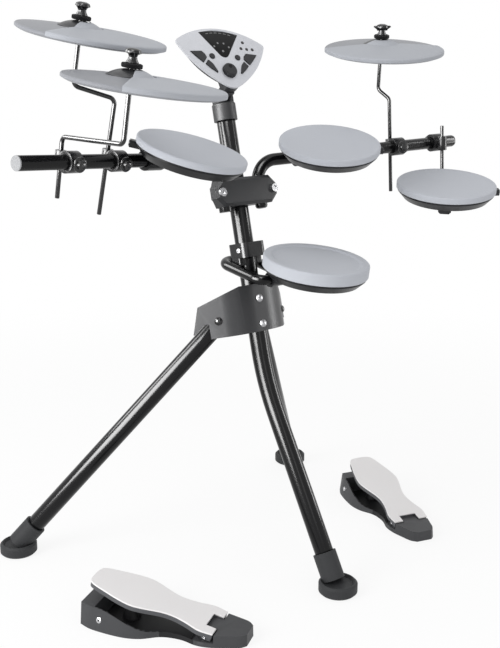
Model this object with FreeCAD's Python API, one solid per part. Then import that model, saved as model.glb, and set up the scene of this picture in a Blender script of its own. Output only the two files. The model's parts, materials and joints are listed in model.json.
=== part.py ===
import FreeCAD, Part
import math
import os
from FreeCAD import Placement, Rotation, Vector

# Electronic drum kit on a three-legged rack, with two free-standing foot pedals.
# X runs to the drummer's right, Y away from the drummer and Z up from the floor.
# Lengths are in millimetres, names that end in angle hold degrees.

# Clearances and cuts
slip_clearance = 0.3
fit_clearance = 0.1
cut_overrun = 6.0
full_turn_angle = 360.0

# Main post, one bent tube that is also the front leg
tube_diameter = 38.0
tube_wall = 1.6
post_lean_angle = 13.2
knee_depth = 66.0
knee_drop = 140.2
knee_bend_radius = 480.0
post_top_rise = 174.5
front_foot_depth = -155.0

# Rear legs
leg_foot_across = 400.0
leg_foot_depth = 415.0
leg_pivot_across = 45.0
leg_pivot_back = 54.1
leg_pivot_drop = 18.0
leg_top_length = 27.0

# Rubber feet
foot_diameter = 78.0
foot_height = 24.0
foot_edge = 4.0
foot_rim_width = 6.0
foot_rim_depth = 5.0
foot_sleeve_diameter = 47.0
foot_axis_height = 20.0
foot_sleeve_start = 2.0
foot_socket_start = 10.0
foot_sleeve_length = 58.0

# Leg bracket, a folded sheet round the front of the post
bracket_gap = 93.0
bracket_sheet = 3.0
bracket_half_width = 52.0
bracket_bend_radius = 30.0
bracket_wing_length = 108.0
bracket_wing_top_length = 88.0
bracket_rise = 57.0
bracket_drop = 40.0
bracket_wing_rise = 27.0
notch_offset = 20.0
notch_cap = 8.0
notch_lap = 3.0
bracket_tip_drop = 28.0
bracket_bolt_rise = 27.0
bracket_bolt_drop = 25.0
bolt_diameter = 8.0
bolt_head_diameter = 17.0
bolt_head_height = 5.0
nut_diameter = 14.0
nut_height = 6.0

# Main clamp that holds both arms on the post
clamp_height = 767.0
clamp_half_width = 80.0
clamp_half_height = 28.0
clamp_chamfer = 17.0
clamp_front_reach = 38.0
clamp_front_chamfer = 6.0
clamp_rear_half_width = 75.0
clamp_rear_shoulder = 60.0
clamp_rear_step = 3.0
clamp_rear_waist = 38.0
clamp_rear_waist_reach = 15.0
clamp_rear_tail = 22.0
clamp_rear_reach = 27.0
clamp_split = 0.6
clamp_bolt_across = 68.0
clamp_bolt_end = 6.0

# Arms
arm_diameter = 25.4
arm_wall = 1.6
arm_across = 48.0
arm_forward = 15.0
left_arm_rise = 71.0
right_arm_rise = 61.0
arm_bend_radius = 45.0
arm_length = 494.0
arm_stub_tail = 10.0
clamp_mouth_depth = 12.0
clamp_mouth_width = 3.4
left_arm_angle = 10.8
right_arm_angle = 15.0
arm_cap_thickness = 3.0
arm_cap_plug = 14.0
arm_dome_height = 8.0
arm_dome_radius = 6.0

# Rod clamps on the arms
rod_diameter = 8.0
rod_offset = 26.0
rod_bend_radius = 12.0
collar_diameter = 38.0
collar_length = 26.0
eye_diameter = 20.0
eye_height = 30.0
eye_web_width = 16.0
eye_web_height = 22.0
screw_boss_diameter = 20.0
screw_boss_reach = 23.0
screw_diameter = 7.0
screw_washer_diameter = 27.0
screw_washer_thickness = 2.5
screw_head_diameter = 15.0
screw_head_height = 6.0
crash_clamp_along = 275.0
hihat_clamp_along = 382.0
ride_clamp_along = 349.0
tom3_clamp_along = 452.0

# Cymbal pads
cymbal_diameter = 254.0
cymbal_edge = 6.0
cymbal_bow = 8.0
cymbal_plate = 8.0
cymbal_bevel_width = 8.0
cymbal_bevel_height = 3.0
cymbal_offset = 22.0
bell_diameter = 70.0
bell_height = 10.0
bell_wall = 5.0
bell_flange = 3.0
bell_foot = 8.0
cymbal_hole_diameter = 20.0
strike_thickness = 2.4
strike_margin = 3.0
strike_line = 8.0
strike_bell_gap = 0.5
housing_diameter = 62.0
housing_drop = 9.0
housing_place = 66.0
felt_diameter = 33.0
felt_thickness = 8.0
low_felt_diameter = 30.0
low_felt_thickness = 12.0
cup_diameter = 26.0
cup_thickness = 3.0
wing_nut_base_diameter = 19.0
wing_nut_waist_diameter = 13.0
wing_nut_top_diameter = 22.0
wing_nut_height = 22.0
wing_nut_roof = 6.0
wing_width = 36.0
wing_thickness = 7.0
wing_height = 13.0

crash_across = -365.0
crash_depth = 97.0
crash_rise = 80.0
crash_side_angle = 3.8
crash_lean_angle = 11.8
crash_turn_angle = 31.0
crash_rod_drop = 106.0
crash_rod_rise = 104.0
crash_rod_upper = 92.0

hihat_across = -405.0
hihat_depth = -114.0
hihat_rise = 154.0
hihat_side_angle = 3.8
hihat_lean_angle = 8.6
hihat_turn_angle = 48.0
hihat_rod_drop = 68.0
hihat_rod_rise = 38.0
hihat_rod_upper = 98.0

ride_across = 357.0
ride_depth = 87.0
ride_rise = 235.0
ride_side_angle = -7.7
ride_lean_angle = 9.7
ride_turn_angle = -31.0
ride_rod_drop = 101.0
ride_rod_rise = 102.0
ride_rod_upper = 92.0

# Drum pads
pad_diameter = 203.0
pad_rubber_side = 13.0
pad_rubber_thickness = 8.0
pad_rubber_skirt = 4.0
pad_edge = 3.0
pad_base_drop = 31.0
pad_base_inset = 3.0
pad_base_taper = 15.0
pad_base_wall = 4.0
pad_core_diameter = 60.0
jack_width = 18.0
jack_height = 13.0
jack_reach = 12.0
snare_rubber_side = 23.0
snare_rim_width = 14.0
snare_rim_depth = 3.0
snare_base_drop = 40.0

tom1_across = -211.0
tom1_depth = 23.0
tom1_rise = 35.0
tom1_side_angle = 6.4
tom1_lean_angle = 17.0
tom1_jack_angle = 145.0

tom2_across = 125.0
tom2_depth = 15.0
tom2_rise = 43.0
tom2_side_angle = -9.4
tom2_lean_angle = 14.9
tom2_jack_angle = 330.0

tom3_across = 342.0
tom3_depth = -109.0
tom3_drop = 43.0
tom3_side_angle = -7.6
tom3_lean_angle = 9.7
tom3_jack_angle = 322.0

snare_across = 0.0
snare_depth = -80.0
snare_rise = 11.0
snare_side_angle = 0.6
snare_lean_angle = 9.0
snare_jack_angle = 60.0

# Brackets that carry the two upper toms on the arms
tom_collar_length = 40.0
tom_neck_width = 34.0
tom_neck_thickness = 11.0
tom_boss_diameter = 56.0
tom_boss_height = 14.0

# Floor tom rod
tom3_rod_rise = 38.0
tom3_rod_tail = 34.0
tom3_boss_length = 64.0
tom3_boss_width = 26.0
tom3_boss_height = 26.0

# Snare clamp and the looped tube that carries the snare pad
snare_clamp_drop = 115.0
snare_clamp_half_width = 33.6
snare_clamp_half_height = 15.0
snare_clamp_chamfer = 8.0
snare_clamp_front = 33.0
snare_clamp_rear = 26.0
saddle_length = 26.0
saddle_reach = 45.0
saddle_top = 6.0
loop_diameter = 20.0
loop_wall = 1.6
loop_half_width = 38.0
loop_drop = 31.0
loop_front = 97.0
loop_back = 33.0
loop_front_radius = 22.0
loop_back_radius = 30.0
loop_gap = 2.0
snare_collar_diameter = 30.0
snare_collar_length = 30.0

# Sound module
module_half_width = 105.0
module_corner_height = 106.0
module_top_height = 140.0
module_side_bulge = 14.0
module_tip_radius = 30.0
module_corner_radius = 7.0
module_swivel_angle = -5.2
module_tilt_angle = 70.5
module_roll_angle = -4.0
module_tip_below_pin = 12.0
module_pin_gap = 46.0
panel_thickness = 4.0
case_depth = 27.0
case_taper = 9.0
display_half_width = 44.0
display_top = 126.0
display_bottom = 73.0
display_bottom_radius = 13.0
display_recess = 1.4
dial_diameter = 30.0
dial_height = 9.0
dial_rise = 41.0
dial_grip_count = 18
dial_grip_diameter = 3.0
round_key_diameter = 12.0
round_key_across = 30.0
round_key_rise = 74.0
upper_key_across = 59.0
upper_key_rise = 72.0
upper_key_length = 28.0
upper_key_width = 16.0
lower_key_across = 38.0
lower_key_rise = 49.0
lower_key_length = 24.0
lower_key_width = 14.0
key_slope_angle = 44.0
key_proud = 2.2
key_stem_share = 0.62
key_travel = 1.2
key_gap = 0.5
key_well_depth = 8.0

# Module mount on the post
sleeve_diameter = 48.0
sleeve_height = 36.0
sleeve_cover = 33.0
sleeve_edge = 3.0
pin_rise = 17.0
pin_diameter = 8.0
ear_thickness = 8.0
ear_diameter = 24.0
tongue_width = 20.0
tongue_diameter = 22.0

# Foot pedals
pedal_length = 310.0
pedal_toe_half_width = 49.0
pedal_waist_half_width = 35.0
pedal_heel_half_width = 42.0
pedal_heel_chamfer = 16.0
pedal_heel_run = 60.0
pedal_waist_place = 128.0
pedal_widest_back = 88.0
pedal_toe_straight = 42.0
pedal_toe_chamfer = 12.0
pedal_floor = 5.0
pedal_wall = 4.0
pedal_heel_height = 23.0
pedal_heel_edge = 4.0
pedal_side_height = 14.0
pedal_side_start = 92.0
pedal_rise_start = 150.0
pedal_rise_middle_share = 0.533
pedal_rise_middle_height = 24.0
pedal_toe_flat = 25.0
pedal_toe_height = 41.0
pedal_step_start = 52.0
pedal_step_height = 8.5
pedal_step_half_width = 38.0
pedal_tongue_half_width = 15.5
pedal_tongue_end = 75.0
board_angle = 12.5
board_hinge_place = 70.0
board_hinge_height = 16.0
board_lift = 7.2
board_thickness = 6.0
board_heel_end = 16.0
board_heel_run = 10.0
board_heel_half_width = 37.0
board_waist_half_width = 30.0
board_waist_place = 72.0
board_toe_half_width = 46.0
board_widest_back = 72.0
board_shoulder_half_width = 38.0
board_shoulder_back = 22.0
board_toe_gap = 1.8
board_notch_half_width = 17.0
board_notch_end = 8.0
board_skirt_inset = 3.0
board_skirt_wall = 3.0
board_skirt_depth = 8.0
board_skirt_start = 26.0
knuckle_diameter = 13.0
knuckle_inner = 20.0
knuckle_outer = 32.0
hinge_pin_diameter = 6.0
bumper_back = 78.0
bumper_foot_diameter = 36.0
bumper_head_diameter = 22.0
bumper_gap = 22.8
toe_bolt_back = 22.0
toe_bolt_height = 22.0
toe_bolt_diameter = 12.0
toe_bolt_thickness = 2.0
kick_heel_across = 307.0
kick_heel_depth = -120.0
kick_yaw_angle = -18.9
hihat_heel_across = -250.0
hihat_heel_depth = -172.0
hihat_yaw_angle = 30.5

# Heights that follow: the main clamp sets where the rest sits on the post
snare_clamp_height = clamp_height - snare_clamp_drop
bracket_height = snare_clamp_height - loop_drop - bracket_gap
knee_height = bracket_height - knee_drop
leg_pivot_height = bracket_height - leg_pivot_drop
post_top_height = clamp_height + post_top_rise
left_arm_height = clamp_height + left_arm_rise
right_arm_height = clamp_height + right_arm_rise
hihat_height = left_arm_height + hihat_rise
crash_height = hihat_height + crash_rise
ride_height = right_arm_height + ride_rise
tom1_height = left_arm_height + tom1_rise
tom2_height = right_arm_height + tom2_rise
tom3_height = right_arm_height - tom3_drop
snare_height = snare_clamp_height + snare_rise

# Places along a pedal that follow its length, measured back from the toe
board_tilt = math.radians(board_angle)
board_length = (pedal_length - board_hinge_place - board_toe_gap) / math.cos(board_tilt)
board_widest_place = board_length - board_widest_back
board_shoulder_place = board_length - board_shoulder_back
pedal_widest_place = pedal_length - pedal_widest_back
pedal_toe_run = pedal_length - pedal_toe_straight
pedal_toe_place = pedal_length - pedal_toe_flat
pedal_rise_middle = pedal_rise_start + (pedal_toe_place - pedal_rise_start) * pedal_rise_middle_share
toe_bolt_place = pedal_length - toe_bolt_back
bumper_place = pedal_length - bumper_back
bumper_rise = (bumper_place - board_hinge_place) * math.tan(board_tilt) + board_lift / math.cos(board_tilt)
bumper_height = board_hinge_height + bumper_rise - bumper_gap

tube_radius = tube_diameter / 2
arm_radius = arm_diameter / 2
rod_radius = rod_diameter / 2
origin = Vector(0, 0, 0)
across = Vector(1, 0, 0)
away = Vector(0, 1, 0)
up = Vector(0, 0, 1)


def radians(angle):
    return math.radians(angle)


def turned(vector, axis, angle):
    return Rotation(axis, angle).multVec(vector)


def unit(vector):
    return Vector(vector).normalize()


post_up = turned(up, across, -post_lean_angle)
post_back = turned(away, across, -post_lean_angle)


def frame(place, x_axis, z_axis):
    z_axis = unit(z_axis)
    y_axis = unit(z_axis.cross(x_axis))
    return Placement(place, Rotation(y_axis.cross(z_axis), y_axis, z_axis, "ZXY"))


def put(shape, placement):
    moved = shape.copy()
    moved.Placement = placement.multiply(moved.Placement)
    return moved


def cylinder(radius, start, end):
    axis = end - start
    return Part.makeCylinder(radius, axis.Length, start, axis)


def block(low, high):
    size = high - low
    return Part.makeBox(size.x, size.y, size.z, low)


def revolved(profile):
    points = [Vector(radius, 0, height) for radius, height in profile]
    face = Part.Face(Part.makePolygon(points + points[:1]))
    return face.revolve(origin, up, full_turn_angle)


def prism(points, direction):
    return Part.Face(Part.makePolygon(points + points[:1])).extrude(direction)


def fused(shapes):
    whole = shapes[0].multiFuse(shapes[1:])
    return whole.removeSplitter()


def bent_path(corners, bend_radius):
    edges = []
    start = corners[0]
    for before, corner, after in zip(corners, corners[1:], corners[2:]):
        into = unit(corner - before)
        out = unit(after - corner)
        half_turn = into.getAngle(out) / 2
        inward = unit(out - into)
        centre = corner + inward * (bend_radius / math.cos(half_turn))
        bend_start = corner - into * (bend_radius * math.tan(half_turn))
        bend_end = corner + out * (bend_radius * math.tan(half_turn))
        edges.append(Part.makeLine(start, bend_start))
        edges.append(Part.Arc(bend_start, centre - inward * bend_radius, bend_end).toShape())
        start = bend_end
    edges.append(Part.makeLine(start, corners[-1]))
    return Part.Wire(edges)


def swept(path, radius):
    first = path.Edges[0]
    start = first.valueAt(first.FirstParameter)
    ring = Part.Wire(Part.makeCircle(radius, start, first.tangentAt(first.FirstParameter)))
    return path.makePipeShell([ring], True, False)


def tube(path, radius, wall):
    return swept(path, radius).cut(swept(path, radius - wall))


def hexagon(width, start, direction):
    turns = range(6)
    sixth_angle = full_turn_angle / len(turns)
    side = frame(start, across if abs(direction.x) < direction.Length / 2 else up, direction)
    reach = width / 2 / math.cos(radians(sixth_angle / 2))
    corners = [turned(Vector(reach, 0, 0), up, sixth_angle * turn) for turn in turns]
    return put(prism(corners, up * direction.Length), side)


# Main post and legs

knee = Vector(0, knee_depth, knee_height)


def post_at(height):
    return knee + post_up * ((height - knee_height) / post_up.z)


def post_frame(height):
    return frame(post_at(height), across, post_up)


def front_foot_ground():
    return Vector(0, front_foot_depth, 0)


def front_leg_up():
    return unit(knee - front_foot_ground())


def front_foot_seat():
    return front_foot_ground() + front_leg_up() * (foot_axis_height / front_leg_up().z)


def main_post():
    start = front_foot_seat() + front_leg_up() * foot_socket_start
    path = bent_path([start, knee, post_at(post_top_height)], knee_bend_radius)
    post = tube(path, tube_radius, tube_wall)
    for height in bracket_bolt_heights():
        post = post.cut(put(bracket_bolt_hole(height), post_frame(bracket_height)))
    return post


def leg_ground(side):
    return Vector(side * leg_foot_across, leg_foot_depth, 0)


def leg_seat(side):
    return leg_ground(side) + up * foot_axis_height


def leg_pivot(side):
    return post_at(leg_pivot_height) + Vector(side * leg_pivot_across, leg_pivot_back, 0)


def leg_up(side):
    return unit(leg_pivot(side) - leg_seat(side))


def rear_leg(side):
    start = leg_seat(side) + leg_up(side) * foot_socket_start
    end = leg_pivot(side) + leg_up(side) * leg_top_length
    leg = cylinder(tube_radius, start, end).cut(cylinder(tube_radius - tube_wall, start, end))
    reach = fold_axis(side) * (tube_diameter + cut_overrun)
    hole = cylinder(bolt_diameter / 2 + slip_clearance, leg_pivot(side) - reach, leg_pivot(side) + reach)
    return leg.cut(hole)


def rubber_foot(ground, seat, tube_up):
    rim = foot_diameter / 2
    inner = rim - foot_rim_width
    disc = revolved([(0, 0), (rim - foot_edge, 0), (rim, foot_edge), (rim, foot_height - foot_edge),
                     (rim - foot_edge, foot_height), (inner, foot_height),
                     (inner - foot_edge, foot_height - foot_rim_depth), (0, foot_height - foot_rim_depth)])
    disc.translate(ground)
    sleeve = cylinder(foot_sleeve_diameter / 2, seat + tube_up * foot_sleeve_start,
                      seat + tube_up * foot_sleeve_length)
    socket = cylinder(tube_radius + fit_clearance, seat + tube_up * foot_socket_start,
                      seat + tube_up * (foot_sleeve_length + cut_overrun))
    return disc.fuse(sleeve).cut(socket).removeSplitter()


# Leg bracket, drawn in the leaning frame of the post

bracket_front = -(tube_radius + fit_clearance)


def bracket_local(vector):
    return post_frame(bracket_height).Rotation.inverted().multVec(vector)


def wing_heading(side):
    down = bracket_local(leg_up(side) * -1)
    return unit(Vector(down.x, down.y, 0))


def fold_axis(side):
    heading = wing_heading(side)
    outward = Vector(heading.y, -heading.x, 0) * side
    return post_frame(bracket_height).Rotation.multVec(outward)


def wing_corner(side):
    return Vector(side * bracket_half_width, bracket_front, 0)


def bracket_bolt_heights():
    return (bracket_bolt_rise, -bracket_bolt_drop)


def bracket_bolt_hole(height):
    reach = tube_radius + bracket_sheet + cut_overrun
    return cylinder(bolt_diameter / 2 + fit_clearance, Vector(0, -reach, height), Vector(0, reach, height))


def wing_frame(side):
    heading = wing_heading(side)
    return frame(wing_corner(side), heading, up)


def wing_pivot(side):
    pivot = post_frame(bracket_height).inverse().multVec(leg_pivot(side))
    return wing_frame(side).inverse().multVec(pivot)


def wing_cuts(side):
    pivot = wing_pivot(side)
    slope = bracket_local(leg_up(side) * -1)
    fall = -slope.z / math.hypot(slope.x, slope.y)
    clear = (tube_radius - notch_lap) * math.hypot(1, fall)
    notch = pivot.x + notch_offset
    notch_top = pivot.z - fall * notch_offset + clear - notch_cap
    deep = bracket_drop + cut_overrun
    far = bracket_wing_length + cut_overrun
    high = bracket_rise + cut_overrun
    slot = [(notch, notch_top), (notch, -deep), (far, -deep),
            (far, pivot.z - fall * (far - pivot.x) + clear), (notch + notch_cap / fall, notch_top)]
    roof = [(0, bracket_rise), (bracket_wing_top_length, bracket_wing_rise), (far, bracket_wing_rise),
            (far, high), (0, high)]
    rear = [(bracket_wing_top_length, bracket_wing_rise), (far, bracket_wing_rise), (far, -deep),
            (bracket_wing_length, -bracket_drop)]
    tip = [(notch, -bracket_tip_drop), (far, -bracket_tip_drop), (far, -deep), (notch, -deep)]
    cuts = []
    for outline in (slot, roof, rear, tip):
        points = [Vector(along, -bracket_half_width, height) for along, height in outline]
        cuts.append(put(prism(points, away * (bracket_half_width + bracket_half_width)), wing_frame(side)))
    return cuts


def leg_bracket():
    left_end = wing_corner(-1) + wing_heading(-1) * bracket_wing_length
    right_end = wing_corner(1) + wing_heading(1) * bracket_wing_length
    line = bent_path([left_end, wing_corner(-1), wing_corner(1), right_end], bracket_bend_radius)
    strip = line.makeOffset2D(bracket_sheet, 0, True, True)
    sheet = strip.extrude(up * (bracket_rise + bracket_drop))
    sheet.translate(up * -bracket_drop)
    for side in (-1, 1):
        for cut in wing_cuts(side):
            sheet = sheet.cut(cut)
    for height in bracket_bolt_heights():
        sheet = sheet.cut(bracket_bolt_hole(height))
    sheet = put(sheet, post_frame(bracket_height))
    for side in (-1, 1):
        reach = fold_axis(side) * (bracket_half_width + bracket_half_width)
        pivot = leg_pivot(side)
        sheet = sheet.cut(cylinder(bolt_diameter / 2 + fit_clearance, pivot, pivot + reach))
    return sheet


def dome_bolt(head, nut, sleeves):
    radius = bolt_head_diameter / 2
    shank = bolt_diameter / 2
    end = up * (nut - head).Length
    curve = (radius ** 2 + bolt_head_height ** 2) / (bolt_head_height + bolt_head_height)
    middle = curve - bolt_head_height - math.sqrt(curve ** 2 - (radius / 2) ** 2)
    crown = up * -bolt_head_height
    run = [Vector(radius, 0, 0), Vector(shank, 0, 0)]
    for low, high in sleeves:
        run += [Vector(shank, 0, low), Vector(nut_diameter / 2, 0, low),
                Vector(nut_diameter / 2, 0, high), Vector(shank, 0, high)]
    run += [end + across * shank, end, crown]
    edges = [Part.Arc(crown, Vector(radius / 2, 0, middle), run[0]).toShape()]
    edges += [Part.makeLine(one, two) for one, two in zip(run, run[1:])]
    bolt = Part.Face(Part.Wire(Part.__sortEdges__(edges))).revolve(origin, up, full_turn_angle)
    bolt = fused([bolt, hexagon(nut_diameter, end, up * nut_height)])
    return put(bolt, frame(head, across, nut - head))


def wing_gap(side):
    corner = post_frame(bracket_height).multVec(wing_corner(side))
    return (corner - leg_pivot(side)).dot(fold_axis(side))


def bracket_bolts():
    leaning = post_frame(bracket_height)
    bolts = []
    for height in bracket_bolt_heights():
        head = Vector(0, bracket_front - bracket_sheet, height)
        nut = Vector(0, tube_radius, height)
        bolts.append(put(dome_bolt(head, nut, []), leaning))
    for side in (-1, 1):
        axis = fold_axis(side)
        gap = wing_gap(side)
        reach = tube_radius + slip_clearance
        head = leg_pivot(side) + axis * (gap + bracket_sheet)
        sleeve = (bracket_sheet, gap + bracket_sheet - reach)
        bolts.append(dome_bolt(head, leg_pivot(side) - axis * reach, [sleeve]))
    return Part.makeCompound(bolts)


# Main clamp and arms, the clamp drawn in the leaning frame of the post


def octagon(half_width, half_height, chamfer, front):
    low = half_height - chamfer
    inner = half_width - chamfer
    return [Vector(-half_width, front, -low), Vector(-inner, front, -half_height),
            Vector(inner, front, -half_height), Vector(half_width, front, -low),
            Vector(half_width, front, low), Vector(inner, front, half_height),
            Vector(-inner, front, half_height), Vector(-half_width, front, low)]


def clamp_mouth(stub):
    bore = arm_radius + slip_clearance
    low = clamp_half_height - clamp_mouth_depth
    flare = Part.makeCone(bore, bore + clamp_mouth_width, clamp_mouth_depth)
    flare.translate(stub + up * low)
    return flare


def clamp_bores():
    reach = up * (clamp_half_height + cut_overrun)
    bores = [cylinder(tube_radius + slip_clearance, reach * -1, reach)]
    for side in (-1, 1):
        stub = Vector(side * arm_across, -arm_forward, 0)
        bores.append(cylinder(arm_radius + slip_clearance, stub - reach, stub + reach))
        bores.append(clamp_mouth(stub))
        head = Vector(side * clamp_bolt_across, -clamp_front_reach - cut_overrun, 0)
        end = Vector(side * clamp_bolt_across, -arm_forward + clamp_bolt_end, 0)
        bores.append(cylinder(bolt_diameter / 2 + fit_clearance, head, end))
    return bores


def clamp_front():
    outline = octagon(clamp_half_width, clamp_half_height, clamp_chamfer, -clamp_front_reach)
    plate = prism(outline, away * (clamp_front_reach - arm_forward - clamp_split / 2))
    rim = [edge for edge in plate.Edges
           if all(abs(vertex.Y + clamp_front_reach) < fit_clearance for vertex in edge.Vertexes)]
    plate = plate.makeChamfer(clamp_front_chamfer, rim)
    for bore in clamp_bores():
        plate = plate.cut(bore)
    return put(plate, post_frame(clamp_height))


def clamp_rear():
    front = -arm_forward + clamp_split / 2
    wide = clamp_rear_half_width
    outline = octagon(wide, clamp_half_height, clamp_chamfer, front)
    body = prism(outline, away * (arm_forward + clamp_rear_reach))
    right = [Vector(wide, front, 0), Vector(wide, front + clamp_rear_step, 0),
             Vector(clamp_rear_shoulder, 0, 0), Vector(clamp_rear_waist, clamp_rear_waist_reach, 0),
             Vector(clamp_rear_tail, clamp_rear_reach, 0)]
    left = [Vector(-point.x, point.y, 0) for point in reversed(right)]
    plan = prism(right + left, up * (clamp_half_height + clamp_half_height))
    plan.translate(up * -clamp_half_height)
    body = body.common(plan)
    for bore in clamp_bores():
        body = body.cut(bore)
    return put(body, post_frame(clamp_height))


def clamp_bolts():
    bolts = []
    for side in (-1, 1):
        head = Vector(side * clamp_bolt_across, -clamp_front_reach, 0)
        end = Vector(side * clamp_bolt_across, -arm_forward + clamp_bolt_end, 0)
        cap = cylinder(bolt_head_diameter / 2, head - away * bolt_head_height, head)
        socket = hexagon(bolt_diameter, head - away * bolt_head_height, away * (bolt_head_height / 2))
        bolts.append(fused([cap.cut(socket), cylinder(bolt_diameter / 2, head, end)]))
    return put(Part.makeCompound(bolts), post_frame(clamp_height))


def arm_stub(side):
    leaning = post_frame(clamp_height)
    return leaning.multVec(Vector(side * arm_across, -arm_forward, 0))


def arm_corner(side):
    stub = arm_stub(side)
    height = left_arm_height if side < 0 else right_arm_height
    return stub + post_up * ((height - stub.z) / post_up.z)


def arm_heading(side):
    angle = left_arm_angle if side < 0 else right_arm_angle
    return turned(across * side, post_up, -side * angle)


def arm_at(side, along):
    return arm_corner(side) + arm_heading(side) * along


def arm_tube(side):
    start = arm_stub(side) - post_up * (clamp_half_height + arm_stub_tail)
    path = bent_path([start, arm_corner(side), arm_at(side, arm_length)], arm_bend_radius)
    return tube(path, arm_radius, arm_wall)


def left_arm_cap():
    end = arm_at(-1, arm_length)
    heading = arm_heading(-1)
    disc = cylinder(arm_radius, end, end + heading * arm_cap_thickness)
    plug = cylinder(arm_radius - arm_wall - fit_clearance, end - heading * arm_cap_plug, end)
    return fused([disc, plug])


def right_arm():
    end = arm_at(1, arm_length)
    dome = cylinder(arm_radius, end, end + arm_heading(1) * arm_dome_height)
    rim = [edge for edge in dome.Edges if len(edge.Vertexes) == 1
           and (edge.CenterOfMass - end).Length > arm_dome_height / 2]
    dome = dome.makeFillet(arm_dome_radius, rim)
    return fused([arm_tube(1), dome])


# Rod clamps, each a collar on the arm with an eye for its rod and a set screw


def rod_up(side, lean_angle):
    heading = arm_heading(side)
    square = unit(up - heading * up.dot(heading))
    return turned(square, heading, side * lean_angle)


def rod_clamp_frame(side, along, lean_angle, behind):
    heading = arm_heading(side) * (side * behind)
    return frame(arm_at(side, along), heading, rod_up(side, lean_angle))


def rod_clamp(place):
    half = across * (collar_length / 2)
    collar = cylinder(collar_diameter / 2, half * -1, half)
    eye_centre = away * rod_offset
    eye = cylinder(eye_diameter / 2, eye_centre - up * (eye_height / 2), eye_centre + up * (eye_height / 2))
    web = block(Vector(-eye_web_width / 2, 0, -eye_web_height / 2),
                Vector(eye_web_width / 2, rod_offset, eye_web_height / 2))
    boss = cylinder(screw_boss_diameter / 2, origin, away * -screw_boss_reach)
    body = fused([collar, eye, web, boss])
    reach = across * (collar_length + cut_overrun)
    body = body.cut(cylinder(arm_radius + slip_clearance, reach * -1, reach))
    rise = up * (eye_height + cut_overrun)
    body = body.cut(cylinder(rod_radius + slip_clearance, eye_centre - rise, eye_centre + rise))
    screw_way = away * -(screw_boss_reach + cut_overrun)
    body = body.cut(cylinder(screw_diameter / 2 + fit_clearance, origin, screw_way))
    tip = away * -(arm_radius + slip_clearance)
    seat = away * -screw_boss_reach
    washer_face = seat - away * screw_washer_thickness
    shank = cylinder(screw_diameter / 2, tip, washer_face)
    washer = cylinder(screw_washer_diameter / 2, seat, washer_face)
    head = hexagon(screw_head_diameter, washer_face, away * -screw_head_height)
    return put(Part.makeCompound([body, fused([shank, washer, head])]), place)


# Cymbal pads, drawn round the rod with the drummer on the -Y side

bell_radius = ((bell_diameter / 2) ** 2 + bell_height ** 2) / (bell_height + bell_height)
bell_centre = bell_height - bell_radius
bell_inner = bell_radius - bell_wall


def tilted_up(side_angle, lean_angle):
    return unit(Vector(math.tan(radians(side_angle)), -math.tan(radians(lean_angle)), 1))


def cymbal_frame(name):
    normal = tilted_up(*cymbal_tilts[name])
    facing = turned(across, up, cymbal_turns[name])
    level = frame(Vector(*cymbal_places[name]), facing, normal)
    return frame(level.multVec(away * cymbal_offset), facing, normal)


def cymbal_slope(radius):
    return -cymbal_bow * radius / (cymbal_diameter / 2)


def cymbal_plate_body():
    rim = cymbal_diameter / 2
    inner = rim - cymbal_bevel_width
    edge_top = cymbal_slope(rim)
    plate = revolved([(0, 0), (rim, edge_top), (rim, edge_top - cymbal_edge),
                      (inner, edge_top - cymbal_edge - cymbal_bevel_height),
                      (inner - cymbal_bevel_width, cymbal_slope(inner) - cymbal_plate),
                      (0, -cymbal_plate)])
    under = cymbal_slope(housing_place) - cymbal_plate
    housing = cylinder(housing_diameter / 2, Vector(0, -housing_place, under - housing_drop),
                       Vector(0, -housing_place, under + strike_margin))
    plate = plate.fuse(housing)
    plate.translate(Vector(0, -cymbal_offset, 0))
    return plate


def ball_height(radius, reach):
    return bell_centre + math.sqrt(radius ** 2 - reach ** 2)


def bell_arc(radius, inner, outer):
    middle = (inner + outer) / 2
    points = [Vector(reach, 0, ball_height(radius, reach)) for reach in (inner, middle, outer)]
    return Part.Arc(*points).toShape(), points[0], points[-1]


def bell_ring():
    hole = cymbal_hole_diameter / 2
    rim = bell_diameter / 2
    foot = rim - bell_wall / 2
    outer, outer_in, outer_out = bell_arc(bell_radius, hole, rim)
    inner, inner_in, inner_out = bell_arc(bell_inner, hole, foot)
    run = [outer_out, Vector(rim + bell_flange, 0, outer_out.z), Vector(rim + bell_flange, 0, -bell_foot),
           Vector(foot, 0, -bell_foot), inner_out]
    edges = [outer, inner, Part.makeLine(inner_in, outer_in)]
    edges += [Part.makeLine(one, two) for one, two in zip(run, run[1:])]
    return Part.Face(Part.Wire(Part.__sortEdges__(edges))).revolve(origin, up, full_turn_angle)


def cymbal(place):
    clear = cylinder(bell_diameter / 2 + bell_flange / 2, up * -bell_radius, up * bell_radius)
    return put(cymbal_plate_body().cut(clear).fuse(bell_ring()).removeSplitter(), place)


def cymbal_strike(place):
    rim = cymbal_diameter / 2 - strike_margin
    low = fit_clearance
    high = low + strike_thickness
    band = revolved([(0, low), (rim, cymbal_slope(rim) + low), (rim, cymbal_slope(rim) + high), (0, high)])
    band.translate(Vector(0, -cymbal_offset, 0))
    reach = cymbal_diameter
    near = block(Vector(-reach, -reach, -reach), Vector(reach, -strike_line, reach))
    bell_clear = cylinder(bell_diameter / 2 + bell_flange + strike_bell_gap, up * -reach, up * reach)
    return put(band.common(near).cut(bell_clear), place)


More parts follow.
